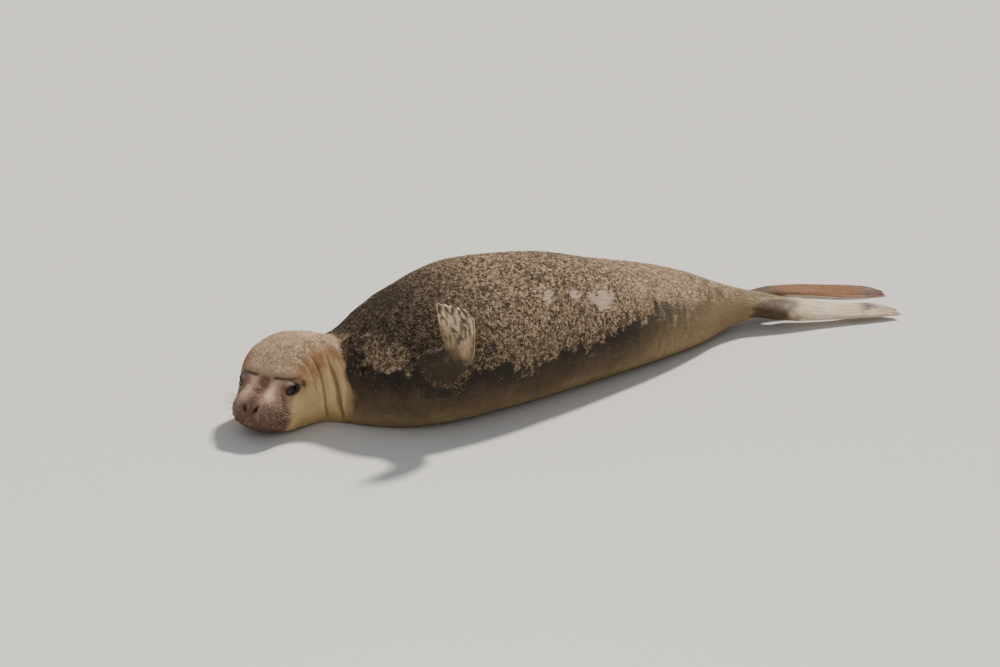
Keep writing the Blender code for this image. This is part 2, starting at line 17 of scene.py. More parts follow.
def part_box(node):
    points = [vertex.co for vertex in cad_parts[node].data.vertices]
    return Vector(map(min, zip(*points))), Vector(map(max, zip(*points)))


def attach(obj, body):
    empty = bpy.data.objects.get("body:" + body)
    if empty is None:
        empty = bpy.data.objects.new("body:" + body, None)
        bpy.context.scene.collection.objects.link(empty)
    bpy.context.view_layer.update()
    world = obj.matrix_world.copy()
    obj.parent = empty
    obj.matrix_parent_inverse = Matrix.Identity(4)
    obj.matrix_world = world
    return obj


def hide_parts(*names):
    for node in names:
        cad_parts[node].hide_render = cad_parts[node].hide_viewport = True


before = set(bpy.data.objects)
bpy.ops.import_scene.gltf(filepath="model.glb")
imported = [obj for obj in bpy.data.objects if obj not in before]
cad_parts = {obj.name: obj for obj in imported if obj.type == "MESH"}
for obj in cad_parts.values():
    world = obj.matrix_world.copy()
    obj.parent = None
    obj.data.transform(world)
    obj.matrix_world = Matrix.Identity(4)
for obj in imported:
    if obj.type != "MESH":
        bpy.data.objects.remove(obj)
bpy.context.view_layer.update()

# %% [markdown]
# ## The sizes of the animal
# A seal's body is one long fusiform shape, so it can be drawn like the lines of a ship: a keel line seen
# from above and, at stations along it, how wide the body is and how high its back stands. It could be
# sculpted by hand instead, but a table is easier to check against a photograph, and the solids were made
# from the same one.

# %% Body lines
EYE_RADIUS = 0.0265
EYE_SIDE, EYE_HEIGHT = 0.085, 0.158
SLIT_DROP = 0.15
LID = 0.0032
MOUTH_HEIGHT = 0.050
HEAD_RAISED = 5.0
SPINE = [(-0.614, 0.0325), (-0.555, 0.0665), (-0.497, 0.100), (-0.400, 0.150), (-0.305, 0.155),
         (-0.205, 0.105), (-0.100, 0.048), (0.050, 0.008), (0.300, 0.000), (0.600, 0.000), (0.890, 0.004),
         (1.126, 0.012), (1.262, 0.014), (1.395, 0.012), (1.490, 0.002), (1.570, -0.018), (1.650, -0.048),
         (1.730, -0.086)]
FACING = [(0.00, 30), (0.19, 30), (0.34, 12), (0.50, -11), (0.75, -9), (1.00, -1), (1.90, 1), (2.12, -5),
          (2.38, -25)]
PROFILE = [
    (0.000, 0.004, 0.088, 0.080), (0.003, 0.026, 0.102, 0.062), (0.010, 0.047, 0.118, 0.045),
    (0.022, 0.066, 0.132, 0.030), (0.040, 0.083, 0.144, 0.016), (0.065, 0.094, 0.155, 0.006),
    (0.095, 0.106, 0.174, 0.001), (0.135, 0.124, 0.214, 0.000), (0.180, 0.141, 0.256, 0.000),
    (0.240, 0.157, 0.296, 0.000), (0.310, 0.165, 0.320, 0.000), (0.380, 0.168, 0.314, 0.000),
    (0.445, 0.174, 0.298, 0.000), (0.500, 0.210, 0.320, 0.000), (0.573, 0.258, 0.372, 0.000),
    (0.650, 0.303, 0.412, 0.000), (0.728, 0.327, 0.445, 0.000), (0.850, 0.341, 0.482, 0.000),
    (0.978, 0.338, 0.500, 0.000), (1.278, 0.300, 0.470, 0.000), (1.568, 0.247, 0.386, 0.000),
    (1.804, 0.196, 0.314, 0.000), (1.940, 0.150, 0.262, 0.002), (2.020, 0.118, 0.222, 0.012),
    (2.100, 0.092, 0.182, 0.026), (2.180, 0.076, 0.148, 0.036), (2.250, 0.058, 0.124, 0.044),
    (2.300, 0.036, 0.112, 0.052), (2.335, 0.027, 0.104, 0.058), (2.362, 0.018, 0.096, 0.064),
    (2.374, 0.004, 0.084, 0.074)]


def smooth(xs, ys, x, monotone=True):
    """Cubic curve through the points (xs, ys), read at x; the monotone kind doesn't overshoot."""
    xs, ys, x = (np.asarray(v, float) for v in (xs, ys, x))
    step = np.diff(xs)
    slope = np.diff(ys) / step
    tangent = np.concatenate([slope[:1], (slope[1:] * step[:-1] + slope[:-1] * step[1:])
                              / (step[1:] + step[:-1]), slope[-1:]])
    if monotone:
        a, b = slope[:-1], slope[1:]
        tangent[1:-1] = np.where(a * b > 0, 2 * a * b / np.where(np.abs(a + b) < 1e-9, 1, a + b), 0)
    i = np.clip(np.searchsorted(xs, x) - 1, 0, len(step) - 1)
    t = (x - xs[i]) / step[i]
    return ((2 * t ** 3 - 3 * t ** 2 + 1) * ys[i] + (t ** 3 - 2 * t ** 2 + t) * step[i] * tangent[i]
            + (3 * t ** 2 - 2 * t ** 3) * ys[i + 1] + (t ** 3 - t ** 2) * step[i] * tangent[i + 1])


def ramp(x, low, high):
    """0 below low, 1 above high, with a soft passage between them."""
    t = np.clip((x - low) / (high - low), 0, 1)
    return t * t * (3 - 2 * t)


def bell(x, width):
    return np.exp(-0.5 * (x / width) ** 2)


# %% The keel line
knots = np.array(SPINE)
chord = np.concatenate([[0], np.cumsum(np.hypot(*np.diff(knots, axis=0).T))])
dense = np.linspace(0, chord[-1], 900)
path = np.stack([smooth(chord, knots[:, k], dense, monotone=False) for k in (0, 1)], 1)
path_length = np.concatenate([[0], np.cumsum(np.hypot(*np.diff(path, axis=0).T))])


def spine_at(s):
    """Place of the cross-section at distance s from the nose, and the way it faces toward the tail."""
    place = np.stack([np.interp(s, path_length, path[:, k]) for k in (0, 1)], -1)
    turn = np.radians(smooth([r[0] for r in FACING], [r[1] for r in FACING], s))
    return place, np.stack([np.cos(turn), np.sin(turn)], -1)


eye_middle, back_of_head = spine_at(0.135)
FORWARD = np.array([-back_of_head[0], -back_of_head[1], 0.0])
LEFT = np.array([-FORWARD[1], FORWARD[0], 0.0])
HEAD_ORIGIN = np.array([eye_middle[0], eye_middle[1], 0.0])


def head_place(u, v, z):
    """Point u ahead of the eyes, v to the animal's left, z above the floor."""
    return HEAD_ORIGIN + FORWARD * u + LEFT * v + np.array([0, 0, z])


throat_place, throat_way = spine_at(0.345)
THROAT = np.array([throat_place[0], throat_place[1], 0.02])


def raised(p):
    """Tips the head up at the throat: full ahead of the cheeks, nothing behind the neck."""
    d = p - THROAT
    turn = math.radians(HEAD_RAISED) * ramp(-(d[..., :2] @ throat_way), -0.07, 0.13)
    ahead, above = d @ FORWARD, d[..., 2]
    out = p + FORWARD * (ahead * (np.cos(turn) - 1) - above * np.sin(turn))[..., None]
    out[..., 2] = np.maximum(p[..., 2] + ahead * np.sin(turn) + above * (np.cos(turn) - 1), 0)
    return out


def head_frame(p):
    """Points in head coordinates: ahead of the eyes, to the left, above the floor."""
    d = p - HEAD_ORIGIN
    return np.stack([d @ FORWARD, d @ LEFT, p[..., 2]], -1)


print("nose to tail along the back: %.2f m" % path_length[-1])

# %% [markdown]
# ## The skin as rings
# Each ring is a rounded cross-section. Its underside is sunk a little and cut at the floor, because
# blubber spreads where it carries weight. Rings stand close on the face, where small forms matter, and
# far apart on the trunk.

# %% Rings of the skin


def ring_angles(around):
    """Angles round a ring, from below; they stand closer on the upper half, which is seen most."""
    f = (np.arange(around) + 0.5) / around * 2 * math.pi
    return f - math.pi / 2 + 0.3 * np.sin(f)


def skin_grid(rings, around):
    s = np.asarray(rings)[:, None]
    t = ring_angles(around)
    half, top, low = (smooth([r[0] for r in PROFILE], [r[k] for r in PROFILE], s) for k in (1, 2, 3))
    place, tail_way = spine_at(s[:, 0])
    left = np.stack([tail_way[:, 1], -tail_way[:, 0]], -1)
    middle = low + (top - low) * (0.44 + 0.06 * ramp(s, 0.02, 0.0))
    sink = 0.07 * (top - low) * ramp(s, 0.05, 0.16) * ramp(s, 2.24, 2.08)
    sine, cosine = np.sin(t)[None], np.cos(t)[None]
    power = 0.93 - 0.24 * ramp(s, 0.03, 0.10) * ramp(s, 0.36, 0.20)
    z = np.where(sine > 0, middle + (top - middle) * np.abs(sine) ** power,
                 middle - (middle - low + sink) * np.abs(sine) ** power)
    side = half * np.sign(cosine) * np.abs(cosine) ** power
    z = np.maximum(z, low)
    p = np.stack([place[:, 0, None] + left[:, 0, None] * side, place[:, 1, None] + left[:, 1, None] * side,
                  z], -1)
    return s + 0 * sine, side, p


def normals_of(p):
    along = np.gradient(p, axis=0)
    round_ = np.roll(p, -1, 1) - np.roll(p, 1, 1)
    n = np.cross(along, round_)
    return n / np.maximum(np.linalg.norm(n, axis=-1, keepdims=True), 1e-12)


# %% [markdown]
# ## Forms of the face
# Soft hills and hollows are added along the surface normal: whisker pads, the two pale ridges of the
# snout with a dark furrow between, brows, cheeks. Narrow ones make the nostrils, the line of the mouth
# and the ear holes; a true seal has no ear flap. Both halves of the face get the same forms by using the
# distance from the middle plane.

# %% Face forms


def hill(p, centre, radii):
    d = (p - np.array(centre)) / np.array(radii)
    return np.exp(-0.5 * (d ** 2).sum(-1))


def mouth_line(u):
    return MOUTH_HEIGHT + 0.020 * ramp(u, 0.11, 0.00)


def brow_crease(m):
    """1 along the deep fold between the brow and the upper lid."""
    across = ramp(m[..., 1], 0.020, 0.045) * ramp(m[..., 1], 0.125, 0.105)
    return bell(m[..., 2] - 0.196, 0.0034) * across * ramp(m[..., 0], -0.035, -0.015)


def nostril(m, width, length, power):
    """1 in the slanting slit of each nostril, high on the front of the snout."""
    q = m - np.array([0.120, 0.023, 0.104])
    slit = q[..., 1] * 0.55 + q[..., 2] * 0.83
    across = q[..., 1] * 0.83 - q[..., 2] * 0.55
    return np.exp(-0.5 * ((across / width) ** 2 + (slit / length) ** power)) * ramp(m[..., 0], 0.06, 0.09)


def face_forms(m):
    out = 0.0105 * hill(m, (0.082, 0.064, 0.086), (0.030, 0.034, 0.030))
    out += 0.0060 * hill(m, (0.055, 0.045, 0.150), (0.045, 0.017, 0.030))
    out -= 0.0042 * hill(m, (0.075, 0.000, 0.150), (0.050, 0.015, 0.040))
    out -= 0.0045 * hill(m, (0.132, 0.000, 0.070), (0.030, 0.005, 0.026))
    out += 0.0090 * hill(m, (0.006, 0.078, 0.213), (0.028, 0.034, 0.016))
    out -= 0.0070 * brow_crease(m)
    out -= 0.0065 * hill(m, (0.034, 0.086, 0.152), (0.020, 0.026, 0.022))
    out -= 0.0045 * hill(m, (-0.045, 0.118, 0.160), (0.010, 0.030, 0.030))
    out += 0.0050 * hill(m, (-0.075, 0.125, 0.130), (0.026, 0.040, 0.045))
    out -= 0.0100 * hill(m, (-0.088, 0.132, 0.186), (0.0040, 0.02, 0.0040))
    out += 0.0020 * hill(m, (-0.088, 0.132, 0.186), (0.012, 0.03, 0.012))
    out += 0.0030 * nostril(m, 0.012, 0.018, 2) - 0.0120 * nostril(m, 0.0036, 0.0120, 4)
    v = (m[..., 2] - mouth_line(m[..., 0])) / 0.0032
    lips = -0.0060 * np.exp(-0.5 * v ** 2) + 0.0026 * np.exp(-0.5 * ((np.abs(v) - 2.6) / 1.2) ** 2)
    return out + lips * ramp(m[..., 0], -0.030, -0.008)


def fold(s, side, z, at, depth, width):
    """Crease across the left of the neck: a groove with a soft roll on each side."""
    slant = 0.25 * (0.21 - z) + 0.045 * ramp(z, 0.10, 0.0)
    d = (s - at - slant) / width
    reach = ramp(side, -0.06, 0.08) * ramp(z, 0.005, 0.05) * ramp(z, 0.28, 0.20)
    return depth * reach * (-bell(d * 2.4, 1) + 0.55 * bell((np.abs(d) - 1.3) * 1.4, 1))


def body_folds(s, side, z):
    out = fold(s, side, z, 0.250, 0.0070, 0.012) + fold(s, side, z, 0.330, 0.0100, 0.015)
    out += fold(s, side, z, 0.208, 0.0030, 0.009) * ramp(z, 0.13, 0.16)
    wave = np.sin((s - 1.60) / 0.020 * math.pi) * bell(s - 1.68, 0.06)
    return out + 0.0030 * wave * ramp(side, 0.10, 0.16) * bell(z - 0.11, 0.05)


# %% [markdown]
# ## Lids
# An eyelid is skin that slides over a ball, so the skin near each eye is drawn to a sphere a few
# millimetres larger than the eyeball. Inside an almond-shaped slit it drops below the ball, which then
# shows through the slit.

# %% Lids


def eye_axes(sign):
    """Centre of an eye, and its outward, forward and upward directions."""
    outward = LEFT * sign * 0.86 + FORWARD * 0.42 + np.array([0, 0, 0.28])
    outward /= np.linalg.norm(outward)
    forward = FORWARD - outward * (FORWARD @ outward) + np.array([0, 0, -0.16])
    forward -= outward * (forward @ outward)
    forward /= np.linalg.norm(forward)
    upward = np.cross(outward, forward) * -sign
    upward *= np.sign(upward[2])
    return head_place(0.0, sign * EYE_SIDE, EYE_HEIGHT), outward, forward, upward


def opening(a):
    return 0.40 * np.sqrt(np.clip(1 - (a / 0.85) ** 2, 0, 1)) - 0.02


def lids(p, sign):
    centre, outward, forward, upward = eye_axes(sign)
    q = p - centre
    dist = np.linalg.norm(q, axis=-1)
    unit = q / np.maximum(dist, 1e-9)[..., None]
    facing, a, b = unit @ outward, unit @ forward, unit @ upward
    cover = ramp(facing, 0.25, 0.72) * ramp(dist, 0.062, 0.042)
    radius = EYE_RADIUS + LID
    crease = 0.0016 * bell(b - 0.62 + 0.25 * a * a, 0.07) * ramp(np.abs(a), 0.75, 0.4)
    rim = 0.0012 * bell(np.abs(b + SLIT_DROP) - opening(a), 0.09) * ramp(np.abs(a), 1.0, 0.7)
    rim = rim + 0.0016 * bell(b + SLIT_DROP - opening(a) - 0.16, 0.16) * ramp(np.abs(a), 0.95, 0.5)
    open_ = ramp(opening(a) - np.abs(b + SLIT_DROP), -0.035, 0.055) * ramp(facing, 0.2, 0.4)
    wanted = (radius - crease + rim) * (1 - open_) + (EYE_RADIUS - 0.0045) * open_
    drawn = dist + (wanted - dist) * cover
    near = ramp(facing, -0.75, -0.45) * (1 - open_)
    drawn = np.where((dist < 0.05) & (near > 0), np.maximum(drawn, near * (radius - crease)), drawn)
    return p + unit * (drawn - dist)[..., None]


def shaped_skin(rings, around):
    s, side, p = skin_grid(rings, around)
    n = normals_of(p)
    m = head_frame(p)
    m[..., 1] = np.abs(m[..., 1])
    out = face_forms(m) + body_folds(s, side, p[..., 2])
    p = p + n * (out * ramp(p[..., 2], 0.001, 0.02))[..., None]
    for sign in (1, -1):
        p = lids(p, sign)
    p[..., 2] = np.maximum(p[..., 2], 0)
    return p


# %% [markdown]
# ## Meshes from rings
# A closed tube is a grid of points with a fan at each end. Two helpers do the housekeeping: one turns
# faces outward, one bakes modifiers into the mesh.

# %% Mesh helpers


def mesh_object(name, vertices, faces):
    mesh = bpy.data.meshes.new(name)
    mesh.from_pydata(np.asarray(vertices, float).tolist(), [], faces)
    mesh.update()
    made = bpy.data.objects.new(name, mesh)
    bpy.context.scene.collection.objects.link(made)
    return made


def ring_faces(rings, around):
    i, j = np.meshgrid(np.arange(rings - 1), np.arange(around), indexing="ij")
    k = (j + 1) % around
    return np.stack([i * around + j, i * around + k, (i + 1) * around + k, (i + 1) * around + j],
                    -1).reshape(-1, 4).tolist()


def tube(name, grid):
    rings, around = grid.shape[:2]
    vertices = np.concatenate([grid.reshape(-1, 3), grid[:1].mean(1), grid[-1:].mean(1)])
    faces = ring_faces(rings, around)
    first, last = rings * around, rings * around + 1
    for j in range(around):
        k = (j + 1) % around
        faces += [(first, k, j), (last, (rings - 1) * around + j, (rings - 1) * around + k)]
    return face_out(mesh_object(name, vertices, faces))


def face_out(made):
    work = bmesh.new()
    work.from_mesh(made.data)
    bmesh.ops.remove_doubles(work, verts=work.verts, dist=1e-6)
    bmesh.ops.recalc_face_normals(work, faces=work.faces)
    if work.calc_volume() < 0:
        bmesh.ops.reverse_faces(work, faces=work.faces)
    work.to_mesh(made.data)
    work.free()
    return made


def settle(made):
    """Turns an object's modifiers into its own mesh."""
    graph = bpy.context.evaluated_depsgraph_get()
    graph.update()
    mesh = bpy.data.meshes.new_from_object(made.evaluated_get(graph), depsgraph=graph)
    made.modifiers.clear()
    made.data = mesh
    mesh.name = made.name
    return made


def points_of(made):
    co = np.empty(len(made.data.vertices) * 3)
    made.data.vertices.foreach_get("co", co)
    return co.reshape(-1, 3)


# %% [markdown]
# ## Flippers
# A flipper is a flat blade with five finger bones in it. Sections from root to tip say where the leading
# and the trailing edge run and how thick the blade is. The fingers stand out as rays, with webs between
# them. The first sections lie inside the body and are thick, so the blade grows out of the flank without
# a step.

# %% Flipper sections
LEFT_FORE = [
    ((-0.045, -0.205, 0.315), (-0.015, -0.215, 0.140), 0.046),
    ((-0.036, -0.262, 0.328), (0.008, -0.285, 0.186), 0.042),
    ((-0.018, -0.302, 0.344), (0.050, -0.335, 0.242), 0.034),
    ((-0.018, -0.322, 0.376), (0.076, -0.372, 0.312), 0.027),
    ((-0.036, -0.330, 0.425), (0.074, -0.388, 0.380), 0.021),
    ((-0.050, -0.333, 0.480), (0.070, -0.392, 0.460), 0.015),
    ((-0.058, -0.335, 0.538), (0.046, -0.386, 0.502), 0.009)]
RIGHT_FORE = [
    ((-0.010, 0.190, 0.060), (0.140, 0.195, 0.085), 0.040),
    ((0.020, 0.262, 0.048), (0.160, 0.255, 0.060), 0.034),
    ((0.075, 0.330, 0.030), (0.185, 0.290, 0.034), 0.027),
    ((0.140, 0.375, 0.022), (0.235, 0.303, 0.022), 0.020),
    ((0.205, 0.400, 0.016), (0.290, 0.314, 0.016), 0.015),
    ((0.268, 0.412, 0.012), (0.334, 0.324, 0.012), 0.011),
    ((0.328, 0.414, 0.008), (0.360, 0.340, 0.008), 0.0075)]
LEFT_HIND = [
    ((1.440, -0.048, 0.088), (1.450, -0.004, 0.104), 0.022),
    ((1.540, -0.092, 0.064), (1.570, -0.014, 0.094), 0.034),
    ((1.640, -0.140, 0.044), (1.690, -0.028, 0.082), 0.028),
    ((1.730, -0.168, 0.032), (1.775, -0.080, 0.068), 0.020),
    ((1.830, -0.200, 0.025), (1.858, -0.124, 0.054), 0.0145),
    ((1.925, -0.234, 0.021), (1.945, -0.144, 0.046), 0.011),
    ((1.995, -0.256, 0.019), (2.005, -0.178, 0.038), 0.0085),
    ((2.034, -0.264, 0.018), (2.040, -0.225, 0.028), 0.0065)]
RIGHT_HIND = [
    ((1.450, 0.008, 0.100), (1.450, 0.052, 0.100), 0.022),
    ((1.550, 0.004, 0.080), (1.560, 0.066, 0.092), 0.034),
    ((1.665, 0.000, 0.076), (1.665, 0.069, 0.093), 0.028),
    ((1.770, -0.040, 0.070), (1.775, 0.042, 0.091), 0.020),
    ((1.870, -0.096, 0.060), (1.870, 0.002, 0.086), 0.0145),
    ((1.955, -0.128, 0.052), (1.960, -0.036, 0.079), 0.011),
    ((2.020, -0.140, 0.048), (2.025, -0.068, 0.069), 0.0085),
    ((2.056, -0.142, 0.047), (2.060, -0.104, 0.058), 0.0065)]
BLADES = {"left_fore": (LEFT_FORE, 0.0045), "right_fore": (RIGHT_FORE, 0.0045),
          "left_hind": (LEFT_HIND, 0.0040), "right_hind": (RIGHT_HIND, 0.0040)}


def blade_lines(sections, steps):
    at = np.linspace(0, 1, len(sections))
    l = np.linspace(0, 1, (len(sections) - 1) * steps + 1)
    lead, trail = (np.stack([smooth(at, [s[e][k] for s in sections], l, False) for k in range(3)], -1)
                   for e in (0, 1))
    thick = smooth(at, [s[2] for s in sections], l)
    along = np.gradient((lead + trail) / 2, axis=0)
    normal = np.cross(along, trail - lead)
    normal /= np.linalg.norm(normal, axis=-1, keepdims=True)
    along /= np.linalg.norm(along, axis=-1, keepdims=True)
    return l, lead, trail, thick, along, normal


def blade_grid(sections, ridge, around=48, steps=10, scallop=0.006, rays=5):
    l, lead, trail, thick, along, normal = blade_lines(sections, steps)
    middle, across = (lead + trail) / 2, trail - lead
    t = (np.arange(around) + 0.5) / around * 2 * math.pi
    w = -np.cos(t)
    edge = np.sqrt(np.clip(1 - w * w, 0, 1)) ** 0.8 * np.sign(np.sin(t))
    bump = 0.5 + 0.5 * np.cos((w * 0.5 + 0.5) * rays * 2 * math.pi + math.pi)
    grown = ramp(l, 0.35, 0.8)[:, None]
    height = thick[:, None] * edge + np.sign(edge) * ridge * grown * (bump - 0.5) * np.abs(edge)
    grid = (middle[:, None] + 0.5 * across[:, None] * w[None, :, None] + normal[:, None] * height[..., None]
            + along[:, None] * (scallop * grown ** 3 * bump)[..., None])
    flat_end = middle[-1] + 0.5 * across[-1] * w[:, None] + along[-1] * (scallop * bump)[:, None]
    ends = []
    for turn in np.radians((18, 36, 54, 70, 82)):
        keep = math.cos(turn)
        ends.append(flat_end * 1.0 + normal[-1] * (height[-1] * keep)[:, None] + along[-1] * 0.006
                    * math.sin(turn) - 0.5 * across[-1] * w[:, None] * 0.05 * (1 - keep))
    grid = np.concatenate([grid, np.array(ends)])
    grid[..., 2] = np.maximum(grid[..., 2], 0)
    return grid


def blade(name, grid):
    """Closed solid from flat rings: the ends are shut by strips from the upper to the lower side."""
    rings, around = grid.shape[:2]
    faces = ring_faces(rings, around)
    for base in (0, (rings - 1) * around):
        for j in range(around // 2 - 1):
            quad = (base + j, base + j + 1, base + around - 2 - j, base + around - 1 - j)
            faces.append(quad[::-1] if base == 0 else quad)
    return face_out(mesh_object(name, grid.reshape(-1, 3), faces))


# %% [markdown]
# ## One skin
# The trunk and the four flippers are joined into one closed surface by a Boolean union. The union loses
# which ring a point came from, so each point looks up its nearest known point afterwards. That gives
# every point its place along and around the body, which the wrinkles, the markings and the lie of the
# coat all follow.

# %% Join trunk and flippers
AROUND = 240
rings = np.concatenate([[0], 0.010 * np.linspace(0.10, 1, 16) ** 2, np.arange(0.0116, 0.20, 0.0021),
                        np.arange(0.20, 0.50, 0.0040), np.arange(0.50, 1.56, 0.014),
                        np.arange(1.56, 1.88, 0.006), np.arange(1.88, 2.35, 0.011),
                        [2.352, 2.362, 2.370, 2.374]])
trunk = shaped_skin(rings, AROUND)
known = [trunk.reshape(-1, 3)]
tailward = np.pad(spine_at(rings)[1], ((0, 0), (0, 1)))
flow = [np.repeat(tailward, AROUND, 0)]
lie = [np.stack([np.repeat(rings, AROUND), np.tile(np.arange(AROUND) / AROUND, len(rings)),
                 np.zeros(trunk.shape[0] * AROUND)], 1)]
skin = tube("seal_skin", trunk)
for number, (name, (sections, ridge)) in enumerate(BLADES.items()):
    grid = blade_grid(sections, ridge)
    limb = blade(name, grid)
    known.append(grid.reshape(-1, 3))
    flow.append(np.repeat(np.gradient(grid.mean(1), axis=0), grid.shape[1], 0))
    lie.append(np.stack([np.repeat(np.linspace(0, 1, len(grid)), grid.shape[1]),
                         np.tile(np.arange(grid.shape[1]) / grid.shape[1], len(grid)),
                         np.full(grid[..., 0].size, number + 1.0)], 1))
    union = skin.modifiers.new(name, "BOOLEAN")
    union.operation, union.solver, union.object = "UNION", "EXACT", limb
    settle(skin)
    bpy.data.objects.remove(limb, do_unlink=True)
skin.name = skin.data.name = "seal_skin"
face_out(skin)
print("skin:", len(skin.data.vertices), "points,", len(skin.data.polygons), "faces")

# %% Place of each point along and around its part
known, lie = np.concatenate(known), np.concatenate(lie)
tree = KDTree(len(known))
for i, v in enumerate(known):
    tree.insert(v, i)
tree.balance()
co = points_of(skin)
found = [tree.find(v) for v in co]
nearest = np.array([f[1] for f in found])
gap = np.array([f[2] for f in found])
along, around, part = lie[nearest].T
flow = np.concatenate(flow)[nearest]
seam = gap > 2e-5
print("points on the joining lines:", int(seam.sum()))

# %% [markdown]
# ## Soft roots
# Where two shapes meet, the union leaves a sharp inner corner that no animal has. The points near that
# line are moved a little toward their neighbours, again and again, until the corner is a soft hollow.

# %% Relax the corners
edges = np.empty(len(skin.data.edges) * 2, int)
skin.data.edges.foreach_get("vertices", edges)
edges = edges.reshape(-1, 2)


def neighbour_mean(values):
    """Mean of each point's neighbours."""
    count = np.bincount(edges.ravel(), minlength=len(values)).astype(float)
    out = np.stack([np.bincount(edges[:, 0], values[edges[:, 1], k], len(values))
                    + np.bincount(edges[:, 1], values[edges[:, 0], k], len(values))
                    for k in range(values.shape[1])], 1)
    return out / np.maximum(count, 1)[:, None]


def put_points(made, values):
    made.data.vertices.foreach_set("co", values.ravel())
    made.data.update()


line = KDTree(int(seam.sum()))
for i, v in enumerate(co[seam]):
    line.insert(v, i)
line.balance()
root_distance = np.array([line.find(v)[2] for v in co])
soft = ramp(root_distance, 0.055, 0.010)[:, None]
for _ in range(36):
    co += soft * 0.55 * (neighbour_mean(co) - co)
co[:, 2] = np.maximum(co[:, 2], 0)
put_points(skin, co)
print("softened points:", int((soft > 0.01).sum()))

# %% [markdown]
# ## Coat relief
# The sand that sticks to the damp coat stands up to about three millimetres proud in clumps, and the lip
# pads have fine grooves. Both are displacement of the mesh here; the finest grain is left to the
# material's bump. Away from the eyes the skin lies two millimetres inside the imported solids, because the
# fur still has to stand on it.

# %% Masks that the relief and the markings share
on_trunk = part == 0
height = co[:, 2]
u, v_side, hz = head_frame(co).T
face_place = np.stack([u, np.abs(v_side), hz], 1)
centre, tail_way = spine_at(np.where(on_trunk, along, 1.0))
left_way = np.stack([tail_way[:, 1], -tail_way[:, 0]], 1)
side = ((co[:, :2] - centre) * left_way).sum(1)


def wander(points, size, seed=0.0, octaves=3):
    """Smooth noise about 0, between -1 and 1, with features of the given size."""
    out = np.zeros(len(points))
    for k in range(octaves):
        q = points * (2 ** k / size) + seed + 17.3 * k
        out += np.array([noise.noise(Vector(v)) for v in q]) / 2 ** k
    return out


rough = wander(co, 0.05, 3.0)
broad = wander(co, 0.22, 9.0, 2)
fine = wander(co, 0.012, 5.0, 2)
drips = wander(np.stack([along, side * 0.3, height * 0.22], 1), 0.016, 4.0, 2)
left_fore, right_fore, left_hind, right_hind = (part == number for number in (1, 2, 3, 4))
fore, hind = left_fore | right_fore, left_hind | right_hind

# %% Where the sand lies
nape = 0.392 + 0.045 * ramp(height, 0.20, 0.29) + 0.05 * ramp(height, 0.285, 0.32)
blur = 0.012 + 0.050 * ramp(height, 0.22, 0.12)
shoulder = ramp(along + 0.010 * rough + 0.006 * drips, nape - 0.008, nape + blur) * on_trunk
brow_line = 0.190 + 0.50 * np.clip(-u, 0, 0.16)
crown = ramp(hz + 0.016 * rough + 0.006 * fine, brow_line - 0.004, brow_line + 0.062)
crown = crown * (1 - shoulder) * on_trunk * ramp(along, 0.100, 0.135)
hinder = ramp(along + 0.10 * broad, 1.42, 1.80) * on_trunk
edge = np.interp(along, (0.38, 0.50, 0.70, 1.10, 1.60, 1.85, 2.10, 2.30),
                 (0.17, 0.18, 0.20, 0.19, 0.17, 0.12, 0.10, 0.10))
back = ramp(height + 0.05 * rough + 0.06 * broad + 0.05 * drips, edge - 0.02, edge + 0.12 + 0.08 * hinder)
back = back * on_trunk * shoulder
light_patch = np.exp(-0.5 * (((along - 0.565) / 0.060) ** 2 + ((height - 0.285) / 0.050) ** 2))
light_patch = light_patch * ramp(side, 0.0, 0.10)
light_patch = ramp(light_patch + 0.30 * rough + 0.12 * fine, 0.36, 0.70)
# This mask marks the damp shoulder and also paints the shadow across it: the sand there is thinned so the
# black coat shows, and its grit is darkened.
damp = shoulder * ramp(along, 1.05, 0.66) * (1 - 0.85 * light_patch)
sand = back * (1.0 - 0.55 * damp * ramp(0.4 * rough + 0.5 * broad, 0.25, -0.10))
sand = np.clip(sand + crown, 0, 1)
sand = np.where(fore, 0.22 + 0.25 * rough, np.where(hind, 0.10, sand))
dry = np.clip(crown + 0.62 * hinder + 0.15 * light_patch, 0, 1)
print("sanded share of the points: %.2f" % (sand > 0.5).mean())

# %% Push the clumps and creases out along the normals
normal = np.empty(len(co) * 3)
skin.data.vertices.foreach_get("normal", normal)
normal = normal.reshape(-1, 3)
clump = np.clip(wander(co, 0.020, 21.0, 2) + 0.15, 0, 1)
SKIN_INSET, CLUMP_HEIGHT = 0.0020, 0.0030
proud = CLUMP_HEIGHT * sand * clump * (1 - 0.75 * crown) - SKIN_INSET
proud += 0.0005 * fine * on_trunk
pad = hill(face_place, (0.075, 0.070, 0.085), (0.032, 0.036, 0.030)) * on_trunk
proud -= 0.0011 * pad * np.clip(np.sin((hz - 0.10 * face_place[:, 1]) / 0.0095 * math.pi + 1.5 * rough), 0, 1)
for sign in (1, -1):
    proud *= ramp(np.linalg.norm(co - eye_axes(sign)[0], axis=1), 0.040, 0.060)
co += normal * (proud * ramp(height, 0.002, 0.02))[:, None]
co[:, 2] = np.maximum(co[:, 2], 0)
put_points(skin, co)
skin.data.vertices.foreach_get("normal", normal.ravel())
print("sand stands up to %.1f mm proud" % (1000 * (proud + SKIN_INSET).max()))
